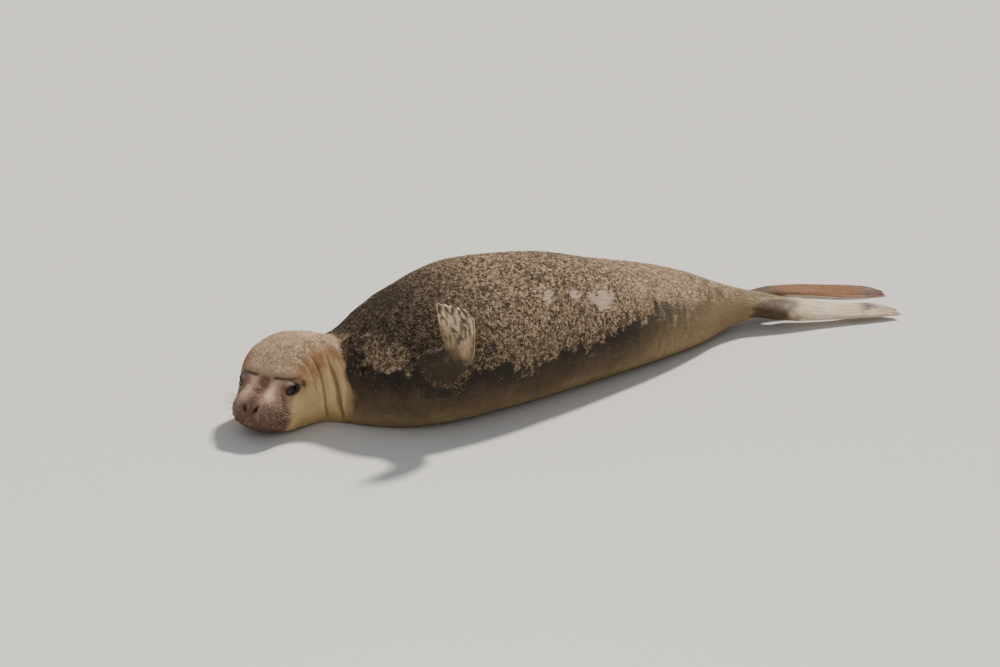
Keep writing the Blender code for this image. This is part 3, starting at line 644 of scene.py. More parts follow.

# %% [markdown]
# ## Markings
# The coat's colour is worked out for each point from where it lies on the animal: tan low on the flank and
# dark brown higher up, a darkening that is partly painted shade; sandy on top; black on the shoulder, which
# is damp and also carries a painted shadow; a pinkish brown muzzle with a dark middle band, rusty temples,
# cream neck folds with painted shade in their grooves, painted shade in the brow creases, nostrils and eye
# sockets, cream and brown hind flippers. The colour is stored on the points, so it needs no picture and it
# stays put when the model is turned.

# %% Colour of the trunk
TAN, UMBER, DARK_BROWN_AND_SHADE = (0.300, 0.220, 0.115), (0.110, 0.073, 0.040), (0.030, 0.022, 0.016)
CREAM, RUST, GOLD = (0.640, 0.455, 0.225), (0.330, 0.155, 0.062), (0.520, 0.345, 0.145)
MUZZLE, MUZZLE_LIGHT, MUZZLE_DARK = (0.215, 0.124, 0.086), (0.560, 0.375, 0.275), (0.080, 0.038, 0.024)
BARE, WET_AND_SHADE, FOREHEAD = (0.520, 0.385, 0.290), (0.014, 0.008, 0.006), (0.400, 0.275, 0.170)


def tint(over, mask, colour):
    """Lays a colour over the coat where the mask is up."""
    mask = np.clip(mask, 0, 1)[:, None]
    return over * (1 - mask) + np.array(colour) * mask


# The coat is dark brown high on the flank and tan near the floor; this darkening toward the top is partly
# painted shade.
coat = np.tile(np.array(DARK_BROWN_AND_SHADE), (len(co), 1))
coat = tint(coat, ramp(height + 0.03 * broad + 0.03 * drips, 0.22, 0.11) * on_trunk, UMBER)
coat = tint(coat, ramp(height + 0.02 * broad + 0.02 * drips, 0.13, 0.02) * on_trunk, TAN)
coat = tint(coat, hinder * ramp(height + 0.02 * broad, 0.30, 0.06), TAN)
front = on_trunk * (1 - shoulder)
coat = tint(coat, front, CREAM)
coat = tint(coat, front * ramp(height + 0.02 * rough, 0.085, 0.010) * 0.75, GOLD)
coat = tint(coat, front * ramp(hz + 0.010 * rough, brow_line - 0.020, brow_line + 0.020), FOREHEAD)
temple = bell(hz + 0.02 * rough - brow_line - 0.002, 0.030)
temple = temple * ramp(-u, 0.0, 0.04) * ramp(-u, 0.22, 0.13) * front
coat = tint(coat, 0.85 * temple * (1 + 0.6 * rough), RUST)
coat = tint(coat, 0.45 * front * bell(along - nape, 0.025) * ramp(drips, -0.1, 0.3), (0.20, 0.13, 0.07))
print("trunk colours on", int(on_trunk.sum()), "points")

# %% Colour of the face
lid_reach = 0.040 * ramp(hz, 0.152, 0.176)
snout = on_trunk * ramp(u + 0.014 * rough + lid_reach, 0.010, 0.044) * ramp(along, 0.170, 0.145)
snout = snout * ramp(hz, 0.206, 0.190)
coat = tint(coat, snout, MUZZLE)
coat = tint(coat, snout * 0.90 * hill(face_place, (0.074, 0.047, 0.148), (0.042, 0.015, 0.036)), MUZZLE_LIGHT)
coat = tint(coat, snout * 0.55 * hill(face_place, (0.026, 0.060, 0.184), (0.030, 0.040, 0.010)), MUZZLE_LIGHT)
band = bell(v_side, 0.017 - 0.004 * ramp(u, 0.06, 0.11)) * ramp(hz, 0.085, 0.115)
coat = tint(coat, snout * 0.88 * band * (1 + 0.5 * rough), MUZZLE_DARK)
coat = tint(coat, snout * 0.70 * ramp(hz + 0.01 * rough, 0.125, 0.070), MUZZLE_DARK)
coat = tint(coat, snout * 0.40 * bell(rough + 0.4 * fine - 0.30, 0.16), MUZZLE_DARK)
coat = tint(coat, snout * 0.22 * ramp(fine, 0.15, 0.45), MUZZLE_LIGHT)
# Painted shadow: a near-black line along each brow crease, where the brow shades the lid.
coat = tint(coat, 0.95 * brow_crease(face_place) ** 2 * on_trunk, (0.030, 0.018, 0.012))
# Painted shade: the nostril slits are near-black inside.
coat = tint(coat, 0.92 * nostril(face_place, 0.0042, 0.0125, 4) * on_trunk, WET_AND_SHADE)
wet = np.zeros(len(co))
for sign in (1, -1):
    eye, outward, forward, upward = eye_axes(sign)
    d = co - eye
    ahead_, up_, out_ = d @ forward, d @ upward, d @ outward
    # Painted shade in each eye socket: the skin round the eye is darkened, the upper lid less so.
    socket_shade = np.exp(-0.5 * (((ahead_ - 0.006) / 0.034) ** 2 + ((up_ + 0.004) / 0.021) ** 2
                          + (np.minimum(out_ - 0.02, 0) / 0.02) ** 2))
    coat = tint(coat, 0.80 * socket_shade, (0.120, 0.062, 0.038))
    coat = tint(coat, 0.70 * socket_shade * ramp(up_, 0.018, 0.028), (0.150, 0.088, 0.060))
    # The near-black spot round and behind each eye is a wet patch and also painted shadow under the brow; the
    # same mask makes that skin glossy.
    around_eye = np.hypot((ahead_ + 0.005) / 0.0320, (up_ + 0.0040) / 0.0215)
    spot = ramp(around_eye + 0.10 * rough, 1.12, 0.84) * ramp(out_, 0.000, 0.012)
    behind = np.hypot((ahead_ + 0.049) / 0.0105, (up_ + 0.0040) / 0.0180)
    spot = np.maximum(spot, 0.80 * ramp(behind + 0.35 * rough, 1.35, 0.50) * ramp(out_, -0.04, -0.02))
    wet = np.maximum(wet, spot)
coat = tint(coat, 0.96 * wet, WET_AND_SHADE)
# Painted shade in the neck folds: the grooves are darkened.
fold_shade = np.clip(-body_folds(along, side, height) / 0.006, 0, 1) * on_trunk
coat = tint(coat, 0.62 * fold_shade, (0.150, 0.085, 0.040))
bare = np.zeros(len(co))
for spot, radii in (((0.719, -0.224, 0.351), (0.060, 0.050, 0.046)),
                    ((0.478, -0.220, 0.421), (0.030, 0.032, 0.026)),
                    ((0.600, -0.215, 0.385), (0.022, 0.026, 0.020))):
    bare = np.maximum(bare, ramp(hill(co, spot, radii) + 0.50 * rough + 0.22 * fine, 0.50, 0.66))
coat = tint(coat, bare, BARE)
sand = sand * (1 - 0.85 * bare) * (1 - wet)
print("face colours laid on; wet points round the eyes:", int((wet > 0.5).sum()))

# %% Colour of the flippers
FLIPPER_CREAM, FLIPPER_BROWN, BLUISH = (0.740, 0.600, 0.410), (0.260, 0.105, 0.040), (0.050, 0.056, 0.085)
MAUVE, WHITE = (0.170, 0.090, 0.088), (0.800, 0.710, 0.600)
streak = wander(np.stack([along * 0.35, around * 2.6, part], 1), 0.085, 2.0, 2)
thin_streak = wander(np.stack([along * 0.30, around * 2.6, part], 1), 0.040, 7.0, 2)
edge_near = np.abs(np.cos(around * 2 * math.pi))
coat = tint(coat, fore * 1.0, (0.048, 0.033, 0.021))
coat = tint(coat, fore * ramp(along + 0.12 * rough, 0.36, 0.62), (0.400, 0.300, 0.170))
coat = tint(coat, fore * ramp(along + 0.06 * rough, 0.58, 0.80) * 0.85, FLIPPER_CREAM)
streaks = np.maximum(ramp(streak + 0.30 * fine, 0.08, 0.22), 0.85
                     * ramp(thin_streak + 0.25 * fine, 0.06, 0.20))
coat = tint(coat, fore * 0.90 * streaks * ramp(along, 0.42, 0.62), (0.045, 0.034, 0.026))
coat = tint(coat, fore * 0.75 * ramp(edge_near, 0.93, 0.99) * ramp(along, 0.30, 0.55), GOLD)
# Painted sky reflection and painted shade: bluish dark streaks in the hollow at the root of the raised
# flipper.
coat = tint(coat, left_fore * 0.65 * bell(along - 0.30, 0.07) * ramp(around, 0.30, 0.15), BLUISH)
ankle = ramp(along + 0.06 * rough, 0.34, 0.20)
coat = tint(coat, hind * 1.0, UMBER)
coat = tint(coat, hind * ankle * 0.75, (0.085, 0.050, 0.029))
coat = tint(coat, left_hind * (1 - ankle), FLIPPER_CREAM)
coat = tint(coat, left_hind * (1 - ankle) * ramp(broad + 0.6 * rough, -0.05, 0.35) * 0.55, WHITE)
coat = tint(coat, left_hind * bell(along - 0.70, 0.045) * ramp(rough + 0.4 * fine, -0.25, 0.15) * 0.92,
            BLUISH)
coat = tint(coat, left_hind * bell(along - 0.82, 0.08) * ramp(rough, -0.2, 0.3) * 0.45, (0.560, 0.370, 0.300))
coat = tint(coat, right_hind * (1 - ankle), FLIPPER_BROWN)
coat = tint(coat, right_hind * ramp(along + 0.05 * rough, 0.62, 0.82) * 0.80, MAUVE)
coat = tint(coat, right_hind * bell(along - 0.80, 0.07) * ramp(rough, 0.0, 0.4) * 0.60, BLUISH)
coat = tint(coat, right_hind * ramp(edge_near + 0.03 * rough, 0.90, 0.98) * (1 - ankle) * 0.90, WHITE)
coat = tint(coat, hind * ramp(along, 0.955, 0.985) * 0.9, WHITE)
coat = tint(coat, hind * 0.45 * ramp(streak, 0.15, 0.40) * (1 - ankle), (0.330, 0.235, 0.165))
print("flipper colours on", int((fore | hind).sum()), "points")

# %% Store the masks and colours on the points


def store(made, name, values):
    layer = made.data.attributes.new(name, "FLOAT", "POINT")
    layer.data.foreach_set("value", np.clip(values, 0, 1).astype(np.float32))


def store_colour(made, name, values):
    layer = made.data.color_attributes.new(name, "FLOAT_COLOR", "POINT")
    values = np.concatenate([np.clip(values, 0, 1), np.ones((len(values), 1))], 1)
    layer.data.foreach_set("color", values.astype(np.float32).ravel())


for _ in range(2):
    coat += (seam[:, None] | (soft > 0.3)) * (neighbour_mean(coat) - coat)
store_colour(skin, "coat", coat)
for name, values in (("sand", sand), ("damp", damp), ("dry", dry), ("muzzle", snout), ("wet", wet)):
    store(skin, name, values)

# %% [markdown]
# ## A map that follows the lie of the coat
# Hairs lie toward the tail on the trunk and toward the tips on the flippers. A map whose first coordinate
# runs that way, in metres, lets one stretched noise draw the nap everywhere.

# %% Lie map
loops = np.empty(len(skin.data.loops), int)
skin.data.loops.foreach_get("vertex_index", loops)
girth = np.where(on_trunk, 1.2, 0.5)
reach = np.where(on_trunk, 1.0, 0.45)
wrapped = around[loops]
starts = np.empty(len(skin.data.polygons), int)
skin.data.polygons.foreach_get("loop_start", starts)
face_of = np.repeat(np.arange(len(starts)), np.diff(np.append(starts, len(loops))))
high = np.maximum.reduceat(wrapped, starts)[face_of]
wrapped = np.where((high - wrapped > 0.5), wrapped + 1, wrapped)
lie_uv = np.stack([(along * reach)[loops] + part[loops] * 3, wrapped * girth[loops]], 1)
skin.data.uv_layers.new(name="lie").data.foreach_set("uv", lie_uv.astype(np.float32).ravel())

# %% [markdown]
# ## Materials
# Every finish is procedural. The sand on the coat and the nap of short fur are small groups of nodes with
# named inputs, made once and used by each material with its own values.

# %% Node helpers


def new_group(name, inputs, outputs):
    group = bpy.data.node_groups.new(name, "ShaderNodeTree")
    for label, kind, value in inputs:
        socket = group.interface.new_socket(label, in_out="INPUT", socket_type=kind)
        if value is not None:
            socket.default_value = value
    for label, kind in outputs:
        group.interface.new_socket(label, in_out="OUTPUT", socket_type=kind)
    return group, group.nodes.new("NodeGroupInput").outputs, group.nodes.new("NodeGroupOutput").inputs


def node(tree, kind, links=(), **settings):
    """Adds a node, sets its options and inputs by name, and links sockets into it."""
    made = tree.nodes.new("ShaderNode" + kind)
    for key, value in settings.items():
        setattr(made, key, value)
    for key, value in dict(links).items():
        if isinstance(value, bpy.types.NodeSocket):
            tree.links.new(value, made.inputs[key])
        else:
            made.inputs[key].default_value = value
    return made


def maths(tree, operation, a, b=0.0, clamp=False):
    return node(tree, "Math", {0: a, 1: b}, operation=operation, use_clamp=clamp).outputs[0]


def times(tree, a, b):
    return maths(tree, "MULTIPLY", a, b)


def plus(tree, a, b):
    return maths(tree, "ADD", a, b)


def less(tree, a, b, clamp=False):
    return maths(tree, "SUBTRACT", a, b, clamp)


def blend(tree, factor, a, b, kind="MIX"):
    made = node(tree, "Mix", {0: factor}, data_type="RGBA", blend_type=kind)
    for socket, value in ((made.inputs[6], a), (made.inputs[7], b)):
        if isinstance(value, bpy.types.NodeSocket):
            tree.links.new(value, socket)
        else:
            socket.default_value = (*value, 1.0)
    return made.outputs[2]


def passage(tree, value, low, high):
    """0 at low, 1 at high, soft between them."""
    made = node(tree, "MapRange", {"Value": value, "From Min": low, "From Max": high},
                interpolation_type="SMOOTHSTEP")
    return made.outputs["Result"]


def noise_at(tree, place, scale, detail=3.0, roughness=0.6):
    return node(tree, "TexNoise", {"Vector": place, "Scale": scale, "Detail": detail,
                                   "Roughness": roughness}).outputs[0]


# %% Sand that sticks to the coat
NUMBER, COLOUR, PLACE = "NodeSocketFloat", "NodeSocketColor", "NodeSocketVector"
caked, given, out = new_group("caked_sand", [("Place", PLACE, None), ("Coat", COLOUR, None),
                                             ("Amount", NUMBER, 0.5), ("Dry", NUMBER, 0.0),
                                             ("Damp And Shade", NUMBER, 0.0)],
                              [("Colour", COLOUR), ("Cover", NUMBER), ("Height", NUMBER)])
wobble = node(caked, "TexNoise", {"Vector": given["Place"], "Scale": 120.0, "Detail": 2.0}).outputs["Color"]
bent = node(caked, "VectorMath", {0: wobble, 1: (0.5, 0.5, 0.5)}, operation="SUBTRACT").outputs[0]
bent = node(caked, "VectorMath", {0: bent, 1: (0.010, 0.010, 0.010)}, operation="MULTIPLY").outputs[0]
bent = node(caked, "VectorMath", {0: given["Place"], 1: bent}, operation="ADD").outputs[0]
coarse = node(caked, "TexVoronoi", {"Vector": bent, "Scale": 118.0})
small = node(caked, "TexVoronoi", {"Vector": bent, "Scale": 270.0})
shade = times(caked, coarse.outputs["Color"], less(caked, 0.80, times(caked, given["Dry"], 0.55)))
shade = plus(caked, shade, times(caked, small.outputs["Color"], 0.75))
shade = plus(caked, shade, times(caked, noise_at(caked, given["Place"], 34.0, 5.0), 0.70))
shade = plus(caked, shade, times(caked, given["Dry"], 0.29))
dark, middle, light = ((0.034, 0.023, 0.015), (0.190, 0.130, 0.080), (0.500, 0.370, 0.240))
pale = ((0.190, 0.122, 0.070), (0.405, 0.283, 0.172), (0.590, 0.445, 0.295))
tones = [blend(caked, given["Dry"], dark_tone, pale_tone)
         for dark_tone, pale_tone in zip((dark, middle, light), pale)]
grit = blend(caked, passage(caked, shade, 0.78, 1.16), tones[0], tones[1])
grit = blend(caked, passage(caked, shade, 1.14, 1.52), grit, tones[2])
# The mask of the damp shoulder darkens the grit: damp sand, and painted shadow on the shoulder.
grit = blend(caked, times(caked, given["Damp And Shade"], 0.80), grit, (0.160, 0.148, 0.138), "MULTIPLY")
level = plus(caked, times(caked, noise_at(caked, given["Place"], 42.0, 5.0), 0.75),
             times(caked, small.outputs["Color"], 0.30))
level = plus(caked, level, given["Amount"])
soft_edge = times(caked, given["Dry"], 0.22)
cover = passage(caked, level, less(caked, 0.92, soft_edge), plus(caked, 1.10, soft_edge))
caked.links.new(blend(caked, times(caked, cover, 0.92), given["Coat"], grit), out["Colour"])
caked.links.new(cover, out["Cover"])
bits = less(caked, 1.0, times(caked, small.outputs["Distance"], 1.4))
lumps = less(caked, 1.0, times(caked, coarse.outputs["Distance"], 1.2))
mound = plus(caked, bits, times(caked, lumps, less(caked, 1.4, times(caked, given["Dry"], 1.3))))
mound = times(caked, mound, less(caked, 1.0, times(caked, given["Dry"], 0.60)))
caked.links.new(times(caked, mound, cover), out["Height"])

# %% Nap of the short coat
nap, given, out = new_group("fur_nap", [("Lie", "NodeSocketVector", None), ("Fineness", NUMBER, 1.0)],
                            [("Shade", NUMBER), ("Height", NUMBER)])
stretched = node(nap, "Mapping", {"Vector": given["Lie"], "Scale": (95.0, 420.0, 420.0)})
hairs = noise_at(nap, stretched.outputs[0], given["Fineness"], 4.0, 0.65)
nap.links.new(hairs, out["Height"])
nap.links.new(passage(nap, hairs, 0.30, 0.72), out["Shade"])

# %% The coat
fur = bpy.data.materials.new("seal_coat")
fur.use_nodes = True
net = fur.node_tree
shader = net.nodes["Principled BSDF"]
shader.inputs["Specular IOR Level"].default_value = 0.22
place = node(net, "TexCoord").outputs["Object"]
lie_map = node(net, "UVMap", uv_map="lie").outputs[0]
own = node(net, "Attribute", attribute_name="coat").outputs["Color"]
sand_here, damp_and_shade_here, dry_here, muzzle_here, wet_and_shade_here = (
    node(net, "Attribute", attribute_name=name).outputs["Fac"]
    for name in ("sand", "damp", "dry", "muzzle", "wet"))
hair = node(net, "Group", node_tree=nap)
net.links.new(lie_map, hair.inputs["Lie"])
mottle = passage(net, noise_at(net, place, 18.0, 6.0), 0.35, 0.68)
base = blend(net, times(net, mottle, 0.30), own, (0.52, 0.45, 0.38), "MULTIPLY")
furred = less(net, 1.0, muzzle_here)
base = blend(net, times(net, hair.outputs["Shade"], times(net, furred, 0.24)), base, (0.45, 0.39, 0.34),
             "MULTIPLY")
scatter = node(net, "TexVoronoi", {"Vector": place, "Scale": 95.0})
specks = passage(net, scatter.outputs["Distance"], 0.20, 0.10)
specks = times(net, specks, passage(net, scatter.outputs["Color"], 0.56, 0.66))
specks = times(net, specks, less(net, 0.75, times(net, muzzle_here, 0.60)))
base = blend(net, specks, base, (0.40, 0.30, 0.20))
crust = node(net, "Group", node_tree=caked)
for label, value in (("Place", place), ("Coat", base), ("Amount", sand_here), ("Dry", dry_here),
                     ("Damp And Shade", damp_and_shade_here)):
    net.links.new(value, crust.inputs[label])
net.links.new(crust.outputs["Colour"], shader.inputs["Base Color"])
sheen = plus(net, 0.58, times(net, muzzle_here, 0.06))
sheen = plus(net, sheen, times(net, crust.outputs["Cover"], 0.35))
sheen = less(net, sheen, times(net, wet_and_shade_here, 0.12), clamp=True)
net.links.new(sheen, shader.inputs["Roughness"])
pores = node(net, "TexVoronoi", {"Vector": place, "Scale": 430.0}).outputs["Distance"]
relief = plus(net, times(net, hair.outputs["Height"], times(net, furred, 0.35)),
               times(net, crust.outputs["Height"], 0.80))
relief = plus(net, relief, times(net, pores, times(net, muzzle_here, 0.14)))
bump = node(net, "Bump", {"Height": relief, "Strength": 0.75, "Distance": 0.0024})
net.links.new(bump.outputs[0], shader.inputs["Normal"])


def dress(made, material):
    """Gives a piece one material and smooth shading."""
    made.data.materials.clear()
    made.data.materials.append(material)
    count = len(made.data.polygons)
    made.data.polygons.foreach_set("material_index", np.zeros(count, int))
    made.data.polygons.foreach_set("use_smooth", np.ones(count, bool))


dress(skin, fur)
print("materials:", [finish.name for finish in bpy.data.materials])

# %% [markdown]
# ## Eyes
# A seal's eye is large and looks black: the iris is dark brown, the pupil wide, and a tear film makes it
# shine. A smooth ball with a slightly raised cornea stands in the socket, and the lids cover most of it.

# %% Eyes
wet_eye = bpy.data.materials.new("wet_eye")
wet_eye.use_nodes = True
net = wet_eye.node_tree
shader = net.nodes["Principled BSDF"]
ring = node(net, "Attribute", attribute_name="from_pupil").outputs["Fac"]
iris = blend(net, passage(net, ring, 0.36, 0.44), (0.003, 0.002, 0.002), (0.012, 0.007, 0.005))
iris = blend(net, passage(net, ring, 0.60, 0.72), iris, (0.024, 0.014, 0.011))
net.links.new(iris, shader.inputs["Base Color"])
shader.inputs["Roughness"].default_value = 0.09
shader.inputs["Coat Weight"].default_value = 0.25
shader.inputs["Coat Roughness"].default_value = 0.03
shader.inputs["IOR"].default_value = 1.34


def eyeball(name, sign):
    centre, outward, forward, upward = eye_axes(sign)
    lat = np.linspace(0, math.pi, 26)[1:-1, None]
    lon = (np.arange(48) / 48 * 2 * math.pi)[None]
    bulge = EYE_RADIUS + 0.0012 * bell(lat, 0.30)
    unit = (np.cos(lat)[..., None] * outward + (np.sin(lat) * np.cos(lon))[..., None] * forward
            + (np.sin(lat) * np.sin(lon))[..., None] * upward)
    ball = tube(name, centre + unit * bulge[..., None])
    store(ball, "from_pupil", np.arccos(np.clip((points_of(ball) - centre) @ outward / EYE_RADIUS, -1, 1))
          / math.pi * 2)
    dress(ball, wet_eye)
    return ball


eyes = {"left_eye": eyeball("left_eye_ball", 1), "right_eye": eyeball("right_eye_ball", -1)}
print("eyes:", [len(ball.data.vertices) for ball in eyes.values()], "points")

# %% [markdown]
# ## Claws
# Five claws lie on the back of each fore flipper, one at the end of each finger ray. Each is a bent cone
# with a rounded ridge, so it is drawn as shrinking rings along a short arc.

# %% Claws
CLAW_LENGTH = 0.030
horn = bpy.data.materials.new("dark_claw")
horn.use_nodes = True
net = horn.node_tree
shader = net.nodes["Principled BSDF"]
place = node(net, "TexCoord").outputs["Object"]
grain = noise_at(net, place, 160.0, 4.0)
net.links.new(blend(net, passage(net, grain, 0.35, 0.7), (0.022, 0.015, 0.011), (0.085, 0.058, 0.040)),
              shader.inputs["Base Color"])
shader.inputs["Roughness"].default_value = 0.42
bump = node(net, "Bump", {"Height": grain, "Strength": 0.35, "Distance": 0.0008})
net.links.new(bump.outputs[0], shader.inputs["Normal"])


def claw_grid(base, way, up, length, width):
    l = np.linspace(0, 1, 14)
    t = (np.arange(16) + 0.5) / 16 * 2 * math.pi
    across = np.cross(way, up)
    line = base + np.outer(l * length, way) + np.outer(0.0042 * np.sin(l * math.pi * 0.62), up)
    half = width * (1 - l ** 1.7) * (0.75 + 0.25 * np.sin(l * math.pi)) + 0.0004
    return (line[:, None] + half[:, None, None] * (np.cos(t)[None, :, None] * across * 0.85
            + np.sin(t)[None, :, None] * up * 0.80))


def fore_claws(word, sections):
    """Five claws of one fore flipper, joined; the back of the hand faces out."""
    _, lead, trail, thick, along_, normal_ = blade_lines(sections, 10)
    up = normal_[-1]
    up = up * (np.sign(up @ np.array([-0.5, -0.8, 0.3])) if word == "left" else np.sign(up[2]))
    way = along_[-1]
    pieces = []
    for finger in range(5):
        portion = (finger + 0.5) / 5
        base = lead[-1] * (1 - portion) + trail[-1] * portion + up * (thick[-1] * 0.9 + 0.0020)
        base = base - way * CLAW_LENGTH * 0.42
        pieces.append(tube("nail", claw_grid(base, way, up, CLAW_LENGTH * (1.0 - 0.06 * finger), 0.0050)))
    nails = join(word + "_fore_claws", pieces)
    dress(nails, horn)
    return nails


def join(name, pieces):
    """Makes one mesh of several pieces."""
    work = bmesh.new()
    for piece in pieces:
        work.from_mesh(piece.data)
        bpy.data.objects.remove(piece, do_unlink=True)
    mesh = bpy.data.meshes.new(name)
    work.to_mesh(mesh)
    work.free()
    made = bpy.data.objects.new(name, mesh)
    bpy.context.scene.collection.objects.link(made)
    return made


claws = {"left": fore_claws("left", LEFT_FORE), "right": fore_claws("right", RIGHT_FORE)}
print("claws:", [len(nails.data.polygons) for nails in claws.values()], "faces")

# %% [markdown]
# ## Whiskers
# A seal's whiskers are stiff hairs set in rows on each lip pad, with three more over each eye. Each
# starts in a dark follicle. The roots are found by looking along the pad's rows for the nearest skin
# point. Geometry Nodes then grow a tapered hair on each root, because the same shape repeats many times.

# %% Whisker roots
skin_tree = KDTree(len(co))
for i, point in enumerate(co):
    skin_tree.insert(point, i)
skin_tree.balance()
draw = np.random.default_rng(7)
roots = []
for sign in (1, -1):
    for row in range(6):
        for column in range(7 - abs(row - 2) // 2):
            want = head_place(0.122 - 0.0115 * column - 0.002 * row, sign
                              * (0.036 + 0.0085 * column + 0.002 * row), 0.116 - 0.0092 * row + 0.0015
                              * column)
            want = want + draw.normal(0, 0.0012, 3)
            point, index, _ = skin_tree.find(want)
            out_way = LEFT * sign * (0.70 + 0.05 * column) + FORWARD * (0.42 - 0.13 * column)
            out_way = out_way + np.array([0, 0, -0.20 - 0.05 * row]) + 0.5 * normal[index]
            out_way = out_way + draw.normal(0, 0.08, 3)
            roots.append((np.array(point), out_way / np.linalg.norm(out_way),
                          0.020 + 0.0050 * column + draw.uniform(-0.004, 0.006)))
    for dx, dz in ((0.0, 0.0), (-0.010, 0.004), (0.008, 0.006)):
        point, index, _ = skin_tree.find(head_place(0.022 + dx, sign * 0.070, 0.225 + dz))
        out_way = normal[index] + FORWARD * 0.3 + LEFT * sign * 0.25
        roots.append((np.array(point), out_way / np.linalg.norm(out_way), 0.022
                      + draw.uniform(-0.004, 0.004)))
root_points = mesh_object("whisker_roots", [r[0] for r in roots], [])
way_layer = root_points.data.attributes.new("way", "FLOAT_VECTOR", "POINT")
way_layer.data.foreach_set("vector", np.array([r[1] for r in roots], np.float32).ravel())
length_layer = root_points.data.attributes.new("long", "FLOAT", "POINT")
length_layer.data.foreach_set("value", np.array([r[2] for r in roots], np.float32))
print("whiskers:", len(roots))

# %% Follicle spots on the skin
follicle = np.zeros(len(co))
for point, _, _ in roots:
    near = [(index, distance) for _, index, distance in skin_tree.find_range(point, 0.007)]
    for index, distance in near:
        follicle[index] = max(follicle[index], float(bell(distance, 0.0019)))
coat = tint(coat, 0.85 * follicle, (0.045, 0.026, 0.022))
store_colour(skin, "coat_spotted", coat)
skin.data.color_attributes.remove(skin.data.color_attributes["coat"])
skin.data.color_attributes["coat_spotted"].name = "coat"

# %% [markdown]
# The tree has named inputs for the hair's thickness and bend. It bends a thin cone, sets it on each root,
# makes the result real and gives it its material, because instances don't survive an export.

# %% Whisker tree
bristle = bpy.data.materials.new("pale_whisker")
bristle.use_nodes = True
net = bristle.node_tree
shader = net.nodes["Principled BSDF"]
place = node(net, "TexCoord").outputs["Object"]
net.links.new(blend(net, passage(net, noise_at(net, place, 90.0), 0.4, 0.6), (0.52, 0.43, 0.33),
                    (0.30, 0.22, 0.16)), shader.inputs["Base Color"])
shader.inputs["Roughness"].default_value = 0.38


def geometry_tree(name, sizes):
    """New Geometry Nodes tree with a mesh in and out and named sizes."""
    tree_ = bpy.data.node_groups.new(name, "GeometryNodeTree")
    tree_.interface.new_socket("Mesh", in_out="INPUT", socket_type="NodeSocketGeometry")
    for label, kind, value in sizes:
        socket = tree_.interface.new_socket(label, in_out="INPUT", socket_type=kind)
        if value is not None:
            socket.default_value = value
    tree_.interface.new_socket("Mesh", in_out="OUTPUT", socket_type="NodeSocketGeometry")
    return tree_, tree_.nodes.new("NodeGroupInput").outputs, tree_.nodes.new("NodeGroupOutput").inputs


def step(tree_, kind, links=(), **settings):
    """Adds one Geometry Nodes step; inputs are given by name or place."""
    made = tree_.nodes.new(kind)
    for key, value in settings.items():
        setattr(made, key, value)
    for key, value in dict(links).items():
        if isinstance(value, bpy.types.NodeSocket):
            tree_.links.new(value, made.inputs[key])
        else:
            made.inputs[key].default_value = value
    return made


def run_tree(made, tree_, values, name):
    """Runs a tree on an object with inputs set by identifier, and returns the result as a plain mesh."""
    work = made.modifiers.new("grow", "NODES")
    work.node_group = tree_
    for item in tree_.interface.items_tree:
        if item.item_type == "SOCKET" and item.in_out == "INPUT" and item.name in values:
            work[item.identifier] = values[item.name]
    graph = bpy.context.evaluated_depsgraph_get()
    graph.update()
    mesh = bpy.data.meshes.new_from_object(made.evaluated_get(graph), depsgraph=graph)
    made.modifiers.remove(work)
    grown = bpy.data.objects.new(name, mesh)
    mesh.name = name
    bpy.context.scene.collection.objects.link(grown)
    return grown


hair_tree, given, out = geometry_tree("whisker_growth", [("Root Radius", NUMBER, 0.0007),
                                                         ("Droop", NUMBER, 0.25),
                                                         ("Finish", "NodeSocketMaterial", None)])
cone = step(hair_tree, "GeometryNodeMeshCone", {"Vertices": 5, "Side Segments": 6, "Radius Top": 0.12,
                                                "Radius Bottom": 1.0, "Depth": 1.0})
spot = step(hair_tree, "GeometryNodeInputPosition").outputs[0]
parts_ = step(hair_tree, "ShaderNodeSeparateXYZ", {0: spot}).outputs
squared = step(hair_tree, "ShaderNodeMath", {0: parts_[2], 1: 2.0}, operation="POWER").outputs[0]
sag = step(hair_tree, "ShaderNodeMath", {0: squared, 1: given["Droop"]}, operation="MULTIPLY").outputs[0]
thin_x = step(hair_tree, "ShaderNodeMath", {0: parts_[0], 1: given["Root Radius"]},
              operation="MULTIPLY").outputs[0]
thin_y = step(hair_tree, "ShaderNodeMath", {0: parts_[1], 1: given["Root Radius"]},
              operation="MULTIPLY").outputs[0]
long_ = step(hair_tree, "GeometryNodeInputNamedAttribute", {"Name": "long"}, data_type="FLOAT").outputs[0]
way_ = step(hair_tree, "GeometryNodeInputNamedAttribute", {"Name": "way"},
            data_type="FLOAT_VECTOR").outputs[0]
sagged = step(hair_tree, "ShaderNodeMath", {0: thin_x, 1: sag}, operation="SUBTRACT").outputs[0]
bent = step(hair_tree, "ShaderNodeCombineXYZ", {0: sagged, 1: thin_y, 2: parts_[2]}).outputs[0]
shaped = step(hair_tree, "GeometryNodeSetPosition", {"Geometry": cone.outputs["Mesh"],
                                                     "Position": bent}).outputs[0]
turn = step(hair_tree, "FunctionNodeAlignEulerToVector", {"Vector": way_}, axis="Z").outputs[0]
size = step(hair_tree, "ShaderNodeCombineXYZ", {0: 1.0, 1: 1.0, 2: long_}).outputs[0]
set_ = step(hair_tree, "GeometryNodeInstanceOnPoints", {"Points": given["Mesh"], "Instance": shaped,
                                                        "Rotation": turn, "Scale": size}).outputs[0]
real = step(hair_tree, "GeometryNodeRealizeInstances", {"Geometry": set_}).outputs[0]
done = step(hair_tree, "GeometryNodeSetMaterial", {"Geometry": real, "Material": given["Finish"]}).outputs[0]
hair_tree.links.new(done, out["Mesh"])
whiskers = run_tree(root_points, hair_tree, {"Root Radius": 0.0006, "Droop": 0.006, "Finish": bristle},
                    "whiskers")
